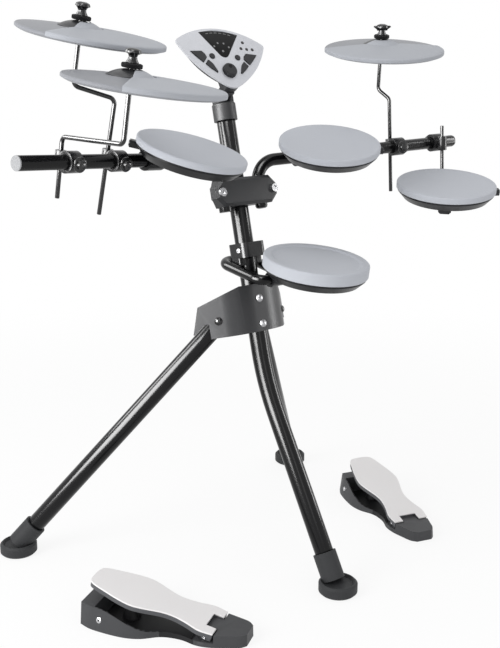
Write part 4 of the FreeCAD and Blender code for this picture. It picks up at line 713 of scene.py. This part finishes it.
pads = {
    "tom1": {"place": (-0.211, 0.023, 0.873), "tilt": (6.4, 17.0), "jack": 145},
    "tom2": {"place": (0.125, 0.015, 0.871), "tilt": (-9.4, 14.9), "jack": 330},
    "tom3": {"place": (0.342, -0.109, 0.785), "tilt": (-7.6, 9.7), "jack": 322},
    "snare": {"place": (0, -0.080, 0.663), "tilt": (0.6, 9.0), "jack": 60},
}
padShape = {"radius": 0.1015, "round": 0.0034, "skirt": 0.004, "tomSide": 0.013, "snareSide": 0.023,
            "rim": 0.014, "rimDrop": 0.003, "thick": 0.008, "jackReach": 0.1104, "jackDrop": 0.0066,
            "rimSlope": 0.0062, "rimRound": 0.003, "rimLap": 0.0005, "lip": 0.0012,
            "crown": [(0, 0.0007), (0.040, 0.0006), (0.075, 0.0003)]}


def padPlace(name):
    return seat(spot(pads[name]["place"]), across, tiltedUp(*pads[name]["tilt"]))


def padRubber(isSnare):
    size = padShape
    radius, bend = size["radius"], size["round"]
    side = size["snareSide"] if isSnare else size["tomSide"]
    if isSnare:
        inner, low, curl = radius - size["rim"], -size["rimDrop"], size["rimRound"]
        profile = [(0, low), (inner - size["rimSlope"], low)]
        profile += arcRun((inner - size["rimSlope"], low + curl), curl, -90, -45, 4)
        profile += arcRun((inner + size["rimLap"], -curl), curl, 135, 90, 4)
    else:
        profile = list(size["crown"])
    profile += arcRun((radius - bend, -bend), bend, 90, 0, 8)
    profile += [(radius, -side + size["lip"]), (radius - size["lip"], -side), (radius - size["skirt"], -side)]
    deep = size["thick"] + (size["rimDrop"] if isSnare else 0)
    return spun(profile + [(radius - size["skirt"], -deep), (0, -deep)], 144)


def jackSocket(name):  # threaded ring and dark hole on the tab at the pad's edge
    side = padShape["snareSide"] if name == "snare" else padShape["tomSide"]
    spotOnTab = turned((padShape["jackReach"], 0, -side - padShape["jackDrop"]), up, pads[name]["jack"])
    outward = turned((1, 0, 0), up, pads[name]["jack"])
    ring = spun([(0.0032, -0.004), (0.0032, 0.0012), (0.0036, 0.0016), (0.0050, 0.0016), (0.0054, 0.0010),
                 (0.0054, -0.0002), (0.0050, -0.004), (0.0032, -0.004)], 28)
    finishPiece(name + "JackRing", ring, "knobPlastic", name, "pad_plastic",
                place=padPlace(name) @ seat(spotOnTab, up, outward))


for name in pads:
    rubber = finishPiece(name + "Cap", padRubber(name == "snare"), "padRubber", name, "pad_rubber",
                         [name + "_rubber"], padPlace(name))
    softCopy(name + "_base", "tubPlastic", name, "pad_plastic", 0.0012, 3)
    jackSocket(name)
for name in ("tom1", "tom2"):
    softCopy(name + "_bracket", "tubPlastic", name, "pad_plastic", 0.0015, 3)
print("drum pads made")

# Floor tom rod

tomRod = {"rise": 0.038, "tail": 0.034, "under": 0.044, "radius": 0.004, "bend": 0.012, "sides": 24, "lip": 0.0008}
eye, axis = jointPlace("tom3_rod_swivel"), jointAxis("tom3_rod_swivel")
normal = padPlace("tom3").to_3x3() @ up
hub = padPlace("tom3") @ (up * -tomRod["under"])
corner = eye - axis * ((eye - hub).dot(normal) / axis.dot(normal))
run = [eye + axis * tomRod["rise"], corner, hub - (corner - hub).normalized() * tomRod["tail"]]
bar = bentTube(run, [tomRod["bend"]], tomRod["radius"], tomRod["sides"], tomRod["lip"])
rodPiece("tom3RodBar", bar, "tom3_rod")

# Leg bracket, one sheet folded in wide bends

bracket = {
    "height": 0.528, "halfWidth": 0.052, "front": -0.0223, "bend": 0.090, "sheet": 0.003, "wing": 0.108,
    "wingTop": 0.088, "rise": 0.057, "drop": 0.040, "wingRise": 0.027, "tipDrop": 0.028, "notchOffset": 0.020,
    "notchCap": 0.008, "notchLap": 0.003, "over": 0.01, "cut": 0.05, "pivotFrom": 0.02,
}


def bracketPlace():
    return seat(postAt(bracket["height"]), across, postUp)


def legDown(side):  # the leg's direction in the bracket's frame
    foot, top = legPoints(side)
    return bracketPlace().to_3x3().inverted() @ (foot - top).normalized()


def wingPlace(side):  # along the wing from the fold line, and up the post
    down = legDown(side)
    return seat(Vector((side * bracket["halfWidth"], bracket["front"], 0)), Vector((down.x, down.y, 0)), up)


def wingCuts(side):
    size = bracket
    down = legDown(side)
    fall = -down.z / down.xy.length
    pivot = (bracketPlace() @ wingPlace(side)).inverted() @ legPivot(side)
    clear = (rack["tubeRadius"] - size["notchLap"]) * math.hypot(1, fall)
    notch = pivot.x + size["notchOffset"]
    notchTop = pivot.z - fall * size["notchOffset"] + clear - size["notchCap"]
    deep, far, high = (size[label] + size["over"] for label in ("drop", "wing", "rise"))
    slot = [(notch, notchTop), (notch, -deep), (far, -deep), (far, pivot.z - fall * (far - pivot.x) + clear),
            (notch + size["notchCap"] / fall, notchTop)]
    roof = [(0, size["rise"]), (size["wingTop"], size["wingRise"]), (far, size["wingRise"]), (far, high), (0, high)]
    rear = [(size["wingTop"], size["wingRise"]), (far, size["wingRise"]), (far, -deep), (size["wing"], -size["drop"])]
    tip = [(notch, -size["tipDrop"]), (far, -size["tipDrop"]), (far, -deep), (notch, -deep)]
    for outline in (slot, roof, rear, tip):
        cutter = prismOf([(along, -size["cut"], height) for along, height in outline], away * (2 * size["cut"]))
        bmesh.ops.transform(cutter, matrix=wingPlace(side), verts=cutter.verts)
        yield cutter


def bracketSheet():  # one sheet folded round the post in wide bends
    size = bracket
    ends = [wingPlace(side) @ Vector((size["wing"], 0, 0)) for side in (-1, 1)]
    folds = [wingPlace(side) @ Vector((0, 0, 0)) for side in (-1, 1)]
    corners = [point - up * size["drop"] for point in (ends[0], *folds, ends[1])]
    bm = bmesh.new()
    bm.edges.new([bm.verts.new(corners[0]), bm.verts.new(corners[0] + up * (size["rise"] + size["drop"]))])
    sweepRing(bm, corners, [size["bend"]] * 2)
    bm.normal_update()
    middle = min(bm.faces, key=lambda face: abs(face.calc_center_median().x))
    inward = 1 if middle.normal.y < 0 else -1
    bmesh.ops.solidify(bm, geom=bm.faces[:], thickness=inward * size["sheet"])
    bmesh.ops.recalc_face_normals(bm, faces=bm.faces)
    for side in (-1, 1):
        for cutter in wingCuts(side):
            bm = mixedSolid(bm, cutter)
    return softenEdges(bm, 0.0005, 2, 40)


flatPiece("bracketSheet", bracketSheet(), "bracketPaint", "stand", "bracket_paint", ["leg_bracket"], bracketPlace())
bolts = softenEdges(nodeCopy("bracket_bolts"), 0.0004, 2)
for face in bolts.faces:  # the pivots at the sides are dark, the two in front are bright
    face.material_index = 1 if abs((face.calc_center_median() - kitOrigin).x) > bracket["pivotFrom"] else 0
flatPiece("bracketBolts", bolts, ["dullSteel", "rodPaint"], "stand", "bright_steel", ["bracket_bolts"])

# Mount, feet, block clamp and cap keep their solids' form, with softened corners

softCopy("module_mount", "clampPlastic", "stand", "clamp_plastic", 0.0012, 3)
for name, body in (("front_foot", "stand"), ("left_foot", "left_leg"), ("right_foot", "right_leg")):
    softCopy(name, "footRubber", body, "foot_rubber", 0.0018, 3)
for name in ("clamp_front", "clamp_rear"):
    softCopy(name, "clampPlastic", "main_clamp", "clamp_plastic", 0.0009, 3)
softCopy("clamp_bolts", "brightSteel", "main_clamp", "bright_steel", 0.0006)
softCopy("left_arm_cap", "capPlastic", "left_arm", "pale_plastic", 0.0012, 3)

# Snare clamp and rod clamps

snareClamp = {
    "height": 0.652, "half": (0.0296, 0.015), "depth": (-0.033, 0.022), "corner": 0.013, "edge": 0.0035,
    "saddle": ((-0.030, -0.014, -0.031), (0.030, 0.014, -0.012)), "bore": 0.0201, "bolt": (-0.0302, -0.014, 0),
    "boltRadius": 0.0048, "boltFacing": (-1, -0.2, 0), "saddleEdge": 0.004, "through": (-0.06, 0.06),
}
rodClamps = {"names": ("crash", "hihat", "ride", "tom3"), "screwFrom": -0.02295,
             "headRadius": 0.0085, "headReach": 0.0115}


def roundedCollar():  # a clamp block with round corners on a saddle over the loop, bored for the post
    (wide, tall), (front, rear) = snareClamp["half"], snareClamp["depth"]
    bm = bmesh.new()
    place = Matrix.Translation((0, (front + rear) / 2, 0)) @ Matrix.Diagonal((2 * wide, rear - front, 2 * tall, 1))
    bmesh.ops.create_cube(bm, size=1, matrix=place)
    upright = [edge for edge in bm.edges if abs(edge.verts[0].co.z - edge.verts[1].co.z) > tall]
    bmesh.ops.bevel(bm, geom=upright, offset=snareClamp["corner"], offset_type="OFFSET", segments=8, profile=0.5,
                    affect="EDGES", clamp_overlap=True, material=-1)
    bm = mixedSolid(bm, roundedBlock(*snareClamp["saddle"], snareClamp["saddleEdge"]), "UNION")
    bm = mixedSolid(bm, drum(snareClamp["bore"], *snareClamp["through"]))
    return softenEdges(bm, snareClamp["edge"], 3, 40)


snarePlace = seat(postAt(snareClamp["height"]), across, postUp)
flatPiece("snareCollar", roundedCollar(), "collarPlastic", "snare_arm", "clamp_plastic", ["snare_clamp"], snarePlace)


def rodClamp(name):  # plastic collar and dark screw
    base, swivel = jointPlace(name + "_clamp_tilt"), jointPlace(name + "_rod_swivel")
    toEye = (swivel - base).normalized()
    bm = softenEdges(nodeCopy(name + "_clamp"), 0.0007, 2)
    for face in bm.faces:
        face.material_index = 1 if (face.calc_center_median() - base).dot(toEye) < rodClamps["screwFrom"] else 0
    finishPiece(name + "ClampSoft", bm, ["collarPlastic", "rodPaint"], name + "_clamp", "clamp_plastic",
                [name + "_clamp"])


def screwHead(radius):  # a low domed head with a round socket
    return spun([(0, 0.0002), (radius * 0.34, 0.0002), (radius * 0.42, 0.0016), (radius * 0.75, 0.0015),
                 (radius * 0.96, 0.0008), (radius, 0), (radius, -0.002), (0, -0.002)], 32)


for name in rodClamps["names"]:
    rodClamp(name)
finishPiece("snareBolt", screwHead(snareClamp["boltRadius"]), "dullSteel", "snare_arm", "bright_steel",
            place=snarePlace @ seat(Vector(snareClamp["bolt"]), up, Vector(snareClamp["boltFacing"])))
facing = jointAxis("hihat_rod_swivel").cross(armHeading(-1)).normalized()
facing = facing if facing.y < 0 else -facing  # towards the drummer
finishPiece("hihatClampScrew", screwHead(rodClamps["headRadius"]), "capPlastic", "hihat_clamp", "bright_steel",
            place=seat(jointPlace("hihat_rod_swivel") + facing * rodClamps["headReach"], up, facing))
print("clamps softened")

# Sound module

softCopy("module_dial", "keyPlastic", "dial", "key_rubber", 0.0004)
for side in ("left", "right"):
    softCopy(side + "_round_key", "keyPlastic", side + "_round_key", "key_rubber", 0.0003)

module = {
    "roll": -4.0, "dialRise": 0.041, "glass": -0.0007,
    "lamps": [(0.0535, 0.1110), (0.0455, 0.0965), (0.0590, 0.0955), (0.0725, 0.0955)], "lampRadius": 0.0037,
    "arcCentre": (0, 0.0870), "arcRadius": 0.0205, "arcAngles": (147, 110, 70, 33), "dotRadius": 0.0021,
    "glowPlace": (0.0005, 0.0880), "glowRadius": 0.0026, "glowHeight": 0.0006, "lampHeight": 0.0009,
    "tickRadius": 0.107, "tickAngles": (104, 98.5, 93, 87, 81.5, 76), "tickSize": (0.0068, 0.0014),
    "tickCentre": (0, 0.0235), "print": (-0.0002, 0.0001), "lensFoot": -0.0006, "dimple": (0, 0.0062), "dialTop": 0.009,
    "caseCentre": (0, 0.085), "caseShare": 0.74, "caseBack": -0.0135, "tongue": (0.014, 0.040),
    "keys": {"upper": [(0.0780, 0.0820), (0.0530, 0.0840), (0.0465, 0.0775), (0.0440, 0.0700), (0.0548, 0.0580),
                       (0.0655, 0.0685)],
             "lower": [(0.0420, 0.0643), (0.0335, 0.0550), (0.0270, 0.0380), (0.0290, 0.0360), (0.0410, 0.0450),
                       (0.0503, 0.0546)]},
    "keyLow": -0.0028, "keyHigh": 0.0022, "wellGrow": 1.06, "wellReach": (-0.006, 0.004), "windowGrow": 1.01,
    "panelDeep": 0.004,
    "plugs": [((0.059, 0.072), (0.0304, 0.0184)), ((0.038, 0.049), (0.0264, 0.0164))], "plugTurn": 44.0,
    "windowFoot": ((0, 0.086), 0.013, 35), "windowCrown": ((0, -0.0355), 0.170, 15.7), "windowLow": -0.0014,
}


def modulePlace():  # the face's frame: the dial's axis, and the tilt axis rolled about it
    normal = jointAxis("dial_turn")
    level = turned(jointAxis("module_tilt"), normal, module["roll"])
    return seat(jointPlace("dial_turn") - normal.cross(level) * module["dialRise"], level, normal)


def lens(radius, height):
    profile = [(0, module["lensFoot"]), (radius * 0.98, module["lensFoot"]), (radius, 0)]
    ball = (radius ** 2 + height ** 2) / (2 * height)
    reach = math.degrees(math.asin(radius / ball))
    return spun(profile + arcRun((0, height - ball), ball, 90 - reach, 90, 6)[1:-1] + [(0, height)], 28)


def onModule(x, y, z=0.0):
    return modulePlace() @ Matrix.Translation((x, y, z))


def displayPiece(name, bm, finish, place):
    finishPiece(name, bm, finish, "module", "display_plastic", place=place)


def moduleCopy(node):  # a solid's copy in the face's frame
    bm = nodeCopy(node)
    bmesh.ops.transform(bm, matrix=modulePlace().inverted(), verts=bm.verts)
    return bm


def moduleCase():  # the sides slope in to the back, apart from the hinge tongue at the tip
    bm = moduleCopy("module_case")
    (x, y), share, (wide, tall) = module["caseCentre"], module["caseShare"], module["tongue"]
    back = [vert for vert in bm.verts if vert.co.z < module["caseBack"]]
    back = [vert for vert in back if abs(vert.co.x) > wide or vert.co.y > tall]
    bmesh.ops.scale(bm, vec=(share, share, 1), verts=back, space=Matrix.Translation((-x, -y, 0)))
    return softenEdges(bm, 0.0010, 2)


def facePrism(points, low, high, side=1, grow=1.0):  # a prism over an outline on the face, grown about its middle
    middle = sum((Vector(point) for point in points), Vector((0, 0))) / len(points)
    grown = [middle + (Vector(point) - middle) * grow for point in points]
    return prismOf([(side * x, y, low) for x, y in grown], (0, 0, high - low))


def windowOutline():
    (foot, footRadius, gap), (crown, crownRadius, spread) = module["windowFoot"], module["windowCrown"]
    lower = arcRun(foot, footRadius, 180 + gap, 360 - gap, 10)
    return lower + arcRun(crown, crownRadius, 90 - spread, 90 + spread, 16)


def modulePanel():  # the key wells and the window are closed and cut again to the keys' leaf shape
    bm = moduleCopy("module_panel")
    deep = module["panelDeep"]
    for side in (-1, 1):
        for (x, y), (long, wide) in module["plugs"]:
            plug = bmesh.new()
            place = Matrix.Translation((side * x, y, -deep / 2))
            place = place @ Matrix.Rotation(math.radians(side * module["plugTurn"]), 4, "Z")
            bmesh.ops.create_cube(plug, size=1, matrix=place @ Matrix.Diagonal((long, wide, deep, 1)))
            bm = mixedSolid(bm, plug, "UNION")
        for points in module["keys"].values():
            bm = mixedSolid(bm, facePrism(points, *module["wellReach"], side, module["wellGrow"]))
    recess = facePrism(windowOutline(), module["windowLow"], module["wellReach"][1], 1, module["windowGrow"])
    bm = mixedSolid(bm, recess)
    return softenEdges(bm, 0.0006, 2)


flatPiece("moduleCase", moduleCase(), "casePlastic", "module", "case_plastic", ["module_case"], modulePlace())
flatPiece("modulePanel", modulePanel(), "silverPaint", "module", "silver_plastic", ["module_panel"], modulePlace())
window = softenEdges(facePrism(windowOutline(), module["windowLow"], module["glass"]), 0.0002, 2)
finishPiece("displayWindow", window, "displayGloss", "module", "display_plastic", ["display_window"], modulePlace())
for sign, side in bothSides:
    for kind, points in module["keys"].items():
        key = side + "_" + kind + "_key"
        leaf = softenEdges(facePrism(points, module["keyLow"], module["keyHigh"], sign), 0.0008, 3, 24)
        flatPiece(side + kind.capitalize() + "Key", leaf, "keyPlastic", key, "key_rubber", [key], modulePlace())
for index, (x, y) in enumerate(module["lamps"], 1):
    lamp = lens(module["lampRadius"], module["lampHeight"])
    displayPiece("moduleLamp" + str(index), lamp, "lampLens", onModule(x, y))
for index, angle in enumerate(module["arcAngles"], 1):
    x, y = turned((module["arcRadius"], 0, 0), up, angle).xy + Vector(module["arcCentre"])
    dot = drum(module["dotRadius"], *module["print"], 24)
    displayPiece("displayDot" + str(index), dot, "displayPrint", onModule(x, y, module["glass"]))
glow = lens(module["glowRadius"], module["glowHeight"])
displayPiece("displayGlow", glow, "displayPrint", onModule(*module["glowPlace"], module["glass"]))
for index, angle in enumerate(module["tickAngles"], 1):
    x, y = turned((module["tickRadius"], 0, 0), up, angle).xy + Vector(module["tickCentre"])
    (wide, tall), (low, high) = module["tickSize"], module["print"]
    tick = roundedBlock((-wide / 2, -tall / 2, low), (wide / 2, tall / 2, high), 0.00005, 1)
    turn = Matrix.Rotation(math.radians(angle - 90), 4, "Z")
    displayPiece("displayTick" + str(index), tick, "displayPrint", onModule(x, y, module["glass"]) @ turn)
dimple = spun([(0, -0.0003), (0.0042, -0.0003), (0.0042, 0.0001), (0.0038, 0.0004), (0.0030, 0.0003), (0, 0.00005)], 32)
finishPiece("dialDimple", dimple, "displayGloss", "dial", "key_rubber",
            place=onModule(module["dimple"][0], module["dialRise"] + module["dimple"][1], module["dialTop"]))
print("module made")

# Foot pedals

pedals = {"kick": {"heel": (0.307, -0.120, 0), "yaw": -18.9}, "hihat": {"heel": (-0.250, -0.172, 0), "yaw": 30.5}}
pedalShape = {  # outlines are (half width, distance from the heel or the hinge), drawn along +Y
    "base": [(0.018, -0.004), (0.029, 0.007), (0.0365, 0.028), (0.0445, 0.056), (0.046, 0.084), (0.0385, 0.112),
             (0.0375, 0.135), (0.042, 0.158), (0.0585, 0.187), (0.0650, 0.216), (0.0640, 0.250), (0.058, 0.290),
             (0.047, 0.316)],
    "slope": [(0.160, 0.010), (0.178, 0.0125), (0.200, 0.0195), (0.235, 0.0330), (0.258, 0.0400), (0.275, 0.0425)],
    "tall": 0.046, "draft": 0.86, "wall": 0.004, "floor": 0.005, "deck": 0.0225, "sill": 0.0085,
    "tray": (0.092, 0.284), "tongue": (0.0185, 0.0755), "pocket": 0.052,
    "board": [(0.0410, -0.014), (0.0435, 0.004), (0.0430, 0.018), (0.0366, 0.040), (0.0323, 0.066), (0.0345, 0.090),
              (0.0465, 0.128), (0.0500, 0.150), (0.0460, 0.178), (0.0385, 0.207), (0.0325, 0.228), (0.0255, 0.2405),
              (0.0130, 0.2440), (0, 0.2450)],
    "notch": (0.0205, 0.006), "boardLow": 0.0098, "boardTop": 0.0132, "skirtLow": 0.0012, "skirtIn": 0.0008,
    "skirtWall": 0.003, "knuckle": (0.0052, 0.0125, 0.0400), "hinge": (0, 0.070, 0.016), "boardAngle": 12.5,
    "screwPlace": (0.272, 0.021), "screwRadius": 0.0058, "pinRadius": 0.0026,
    "over": 0.1, "toeFrom": 0.2, "skirtFrom": 0.022, "screwFacing": (-1, 0.2, 0.2), "pinGap": 0.0012,
}


def pedalPlace(name):
    return Matrix.Translation(spot(pedals[name]["heel"])) @ Matrix.Rotation(math.radians(pedals[name]["yaw"]), 4, "Z")


def boardPlace(name):
    tilt = Matrix.Rotation(math.radians(pedalShape["boardAngle"]), 4, "X")
    return pedalPlace(name) @ Matrix.Translation(pedalShape["hinge"]) @ tilt


def curveThrough(points, steps=5):  # a smooth run through the points, with even tangents
    knots = [Vector(point) for point in points]
    knots = [knots[0] * 2 - knots[1]] + knots + [knots[-1] * 2 - knots[-2]]
    run = []
    for before, first, second, after in zip(knots, knots[1:], knots[2:], knots[3:]):
        for step in range(steps):
            share = step / steps
            bend = (before * 2 - first * 5 + second * 4 - after) * share ** 2
            swing = (first * 3 - before - second * 3 + after) * share ** 3
            run.append((first * 2 + (second - before) * share + bend + swing) / 2)
    return run + [knots[-2]]


def plateOf(half, low, high):  # a closed plate from a half outline and its mirror image
    other = [(-x, y) for x, y in reversed(half) if x > 0]
    return prismOf([(x, y, low) for x, y in [*half, *other]], up * (high - low))


def sunkBlock(low, high):
    return roundedBlock(low, high, 0.0001, 1)


def pedalHull(inset, lift):  # the moulding's outer form, drawn in towards the top
    size = pedalShape
    bm = plateOf([(x - inset, y) for x, y in curveThrough(size["base"])], 0, size["tall"])
    bmesh.ops.scale(bm, vec=(size["draft"], 1, 1), verts=[vert for vert in bm.verts if vert.co.z > 0])
    return moved(bm, up * lift)


def pedalRoof():  # what is taken off above the heel deck, the sills and the rise to the toe
    size = pedalShape
    wide, over, back, far = 0.09, 0.09, -0.03, 0.35
    line = [(back, size["deck"]), (size["tongue"][1], size["deck"]), (size["tongue"][1], size["sill"]),
            (size["tray"][0], size["sill"])]
    line += [tuple(point) for point in curveThrough(size["slope"])]
    line += [(far, line[-1][1]), (far, over), (back, over)]
    return prismOf([(-wide, y, z) for y, z in line], across * (2 * wide))


def pedalShell():
    size = pedalShape
    (start, end), over = size["tray"], size["over"]
    room = sunkBlock((-over, start, 0), (over, end, over))
    tray = mixedSolid(pedalHull(size["wall"], size["floor"]), room, "INTERSECT")
    shell = mixedSolid(mixedSolid(pedalHull(0, 0), pedalRoof()), tray)
    half, far = size["tongue"]
    for side in (-1, 1):
        edges = sorted((side * half, side * size["over"]))
        pocket = sunkBlock((edges[0], size["pocket"], size["sill"]), (edges[1], far + 0.001, size["over"]))
        shell = mixedSolid(shell, pocket)
    softenEdges(shell, 0.0009, 2, 34)
    shell.normal_update()
    # Faces inside the tray take the near-black second finish: painted shade on the tray's floor and inner walls
    for face in shell.faces:
        middle = face.calc_center_median()
        shadedInside = start < middle.y < end and (face.normal.x * middle.x < 0 or abs(middle.z - size["floor"]) < 0.001)
        face.material_index = 1 if shadedInside else 0
    return shell


def boardHalf(inset):
    (notch, end), toe = pedalShape["notch"], pedalShape["toeFrom"]
    curve = [(max(0, x - inset), y - inset * (1 if y > toe else 0)) for x, y in curveThrough(pedalShape["board"])]
    heel = curve[0][1] + inset
    return [(notch + inset, end + inset), (notch + inset, heel), (curve[0][0], heel)] + curve[1:]


def boardSkirt():
    size = pedalShape
    skirt = plateOf(boardHalf(size["skirtIn"]), size["skirtLow"], size["boardLow"])
    inner = [(x, y) for x, y in boardHalf(size["skirtIn"] + size["skirtWall"])[3:] if y > size["skirtFrom"]]
    skirt = mixedSolid(skirt, plateOf(inner, size["skirtLow"] - 0.01, size["boardLow"] - 0.001))
    radius, length, outer = size["knuckle"]
    for side in (-1, 1):
        edges = sorted((side * (size["notch"][0] + 0.001), side * outer))
        knuckle = roundedBlock((edges[0], -length, -radius), (edges[1], length / 2, size["boardLow"] - 0.002), 0.002)
        skirt = mixedSolid(skirt, knuckle, "UNION")
    return softenEdges(skirt, 0.0006, 2, 34)


size = pedalShape
for name in pedals:
    flatPiece(name + "PedalShell", pedalShell(), ["pedalPlastic", "boardUnder"], "stand", "pedal_plastic",
              [name + "_pedal"], pedalPlace(name))
    plate = softenEdges(plateOf(boardHalf(0), size["boardLow"], size["boardTop"]), 0.0011, 3)
    flatPiece(name + "BoardPlate", plate, "boardPlastic", name + "_board", "board_plastic",
              [name + "_board"], boardPlace(name))
    flatPiece(name + "BoardSkirt", boardSkirt(), "skirtPlastic", name + "_board", "board_plastic",
              place=boardPlace(name))
    along, height = size["screwPlace"]
    draw = 1 - (1 - size["draft"]) * height / size["tall"]
    wall = min(curveThrough(size["base"]), key=lambda point: abs(point.y - along)).x * draw
    outward = Vector(size["screwFacing"])
    finishPiece(name + "ToeScrew", screwHead(size["screwRadius"]), "brightSteel", "stand", "bright_steel",
                place=pedalPlace(name) @ seat(Vector((-wall, along, height)), up, outward))
    for side, word in bothSides:
        pin = seat(Vector((side * (size["knuckle"][2] + size["pinGap"]), 0, 0)), up, across * side)
        stands = ["pedal_fixings"] if (name, side) == ("kick", -1) else []
        finishPiece(name + "PinHead" + word.capitalize(), screwHead(size["pinRadius"]), "brightSteel", "stand",
                    "bright_steel", stands, pedalPlace(name) @ Matrix.Translation(size["hinge"]) @ pin)
# The bumpers inside the trays get the near-black painted shade in place of their rubber colour
softCopy("pedal_bumpers", "boardUnder", "stand", "foot_rubber", 0.0012, 3)
print("pedals made")

# Stage, light and camera

studio = {
    "floor": 9.0, "floorDrop": 0.0004, "paper": 0.9, "paperRough": 0.9, "paperGloss": 0.1, "glow": (0.86, 1.0),
    "fade": (0.9, 2.6), "ambient": 0.72,
    "lamps": {
        "keyLamp": {"place": (-2.45, 0.3, 1.35), "size": (1.3, 1.9), "power": 42, "onlyGloss": False},
        "fillLamp": {"place": (-0.9, -2.4, 1.3), "size": (0.6, 1.6), "power": 6, "onlyGloss": False},
        "topLamp": {"place": (0.1, -0.2, 2.7), "size": (1.6, 1.6), "power": 7, "onlyGloss": False},
        "leftSoftbox": {"place": (-2.4, 0.0, 1.2), "size": (1.9, 2.0), "power": 400, "onlyGloss": True},
        "topSoftbox": {"place": (-0.9, -0.7, 2.5), "size": (1.0, 1.0), "power": 60, "onlyGloss": True},
        "rightSoftbox": {"place": (1.95, -1.0, 1.1), "size": (0.5, 1.9), "power": 45, "onlyGloss": True},
        "backSoftbox": {"place": (-1.4, 1.75, 1.7), "size": (0.7, 1.2), "power": 53, "onlyGloss": True},
    },
    "aim": (0, 0, 0.6),
    "camera": {"place": (-1.276, -1.370, 0.983), "pitch": 76.11, "yaw": -40.7, "lens": 54.0, "sensor": 36.0},
}


def directRay(tree):  # one for rays that look straight, by mirror or through glass at the backdrop
    path = tree.nodes.new("ShaderNodeLightPath").outputs
    either = addMath(tree, "MAXIMUM", path["Is Camera Ray"], path["Is Glossy Ray"])
    return addMath(tree, "MAXIMUM", either, path["Is Transmission Ray"])


def makeStage():
    bm = bmesh.new()
    bmesh.ops.create_grid(bm, x_segments=1, y_segments=1, size=studio["floor"],
                          matrix=Matrix.Translation((0, 0, -studio["floorDrop"])))
    mesh = bpy.data.meshes.new("studioFloor")
    bm.to_mesh(mesh)
    bm.free()
    floor = bpy.data.objects.new("studioFloor", mesh)
    scene.collection.objects.link(floor)
    paper = bpy.data.materials.new("studioPaper")
    paper.use_nodes = True
    tree = paper.node_tree
    shader = tree.nodes["Principled BSDF"]
    shader.inputs["Base Color"].default_value = (*[studio["paper"]] * 3, 1.0)
    shader.inputs["Roughness"].default_value = studio["paperRough"]
    shader.inputs["Specular IOR Level"].default_value = studio["paperGloss"]
    glow = tree.nodes.new("ShaderNodeEmission")
    mix = tree.nodes.new("ShaderNodeMixShader")
    reach = tree.nodes.new("ShaderNodeVectorMath")
    reach.operation = "LENGTH"
    tree.links.new(tree.nodes.new("ShaderNodeTexCoord").outputs["Object"], reach.inputs[0])
    fade = tree.nodes.new("ShaderNodeMapRange")
    fade.interpolation_type = "SMOOTHSTEP"
    tree.links.new(reach.outputs["Value"], fade.inputs["Value"])
    for label, value in zip(("From Min", "From Max", "To Min", "To Max"), (*studio["fade"], *studio["glow"])):
        fade.inputs[label].default_value = value
    tree.links.new(addMath(tree, "MULTIPLY", directRay(tree), fade.outputs["Result"]), mix.inputs["Fac"])
    tree.links.new(shader.outputs["BSDF"], mix.inputs[1])
    tree.links.new(glow.outputs["Emission"], mix.inputs[2])
    tree.links.new(mix.outputs["Shader"], tree.nodes["Material Output"].inputs["Surface"])
    mesh.materials.append(paper)
    world = bpy.data.worlds.new("studioWorld")
    scene.world = world
    world.use_nodes = True
    tree = world.node_tree
    back = tree.nodes["Background"]
    strength = addMath(tree, "MULTIPLY", directRay(tree), 1.0 - studio["ambient"])
    tree.links.new(addMath(tree, "ADD", strength, studio["ambient"]), back.inputs["Strength"])
    back.inputs["Color"].default_value = (1, 1, 1, 1)


def makeLamps():
    for name, lamp in studio["lamps"].items():
        data = bpy.data.lights.new(name, "AREA")
        data.shape = "RECTANGLE"
        data.size, data.size_y = lamp["size"]
        data.energy = lamp["power"]
        light = bpy.data.objects.new(name, data)
        light.location = spot(lamp["place"])
        light.visible_diffuse = not lamp["onlyGloss"]
        if lamp["onlyGloss"]:
            light.light_linking.receiver_collection = streaked
        light.rotation_euler = (spot(studio["aim"]) - light.location).to_track_quat("-Z", "Y").to_euler()
        scene.collection.objects.link(light)


def makeCamera():
    view = studio["camera"]
    data = bpy.data.cameras.new("photoCamera")
    data.lens, data.sensor_width = view["lens"], view["sensor"]
    camera = bpy.data.objects.new("photoCamera", data)
    camera.location = spot(view["place"])
    camera.rotation_euler = (math.radians(view["pitch"]), 0, math.radians(view["yaw"]))
    scene.collection.objects.link(camera)
    scene.camera = camera


scene = bpy.context.scene
scene.view_settings.view_transform = "Standard"
makeStage()
makeLamps()
makeCamera()
print("stage, lamps and camera set")
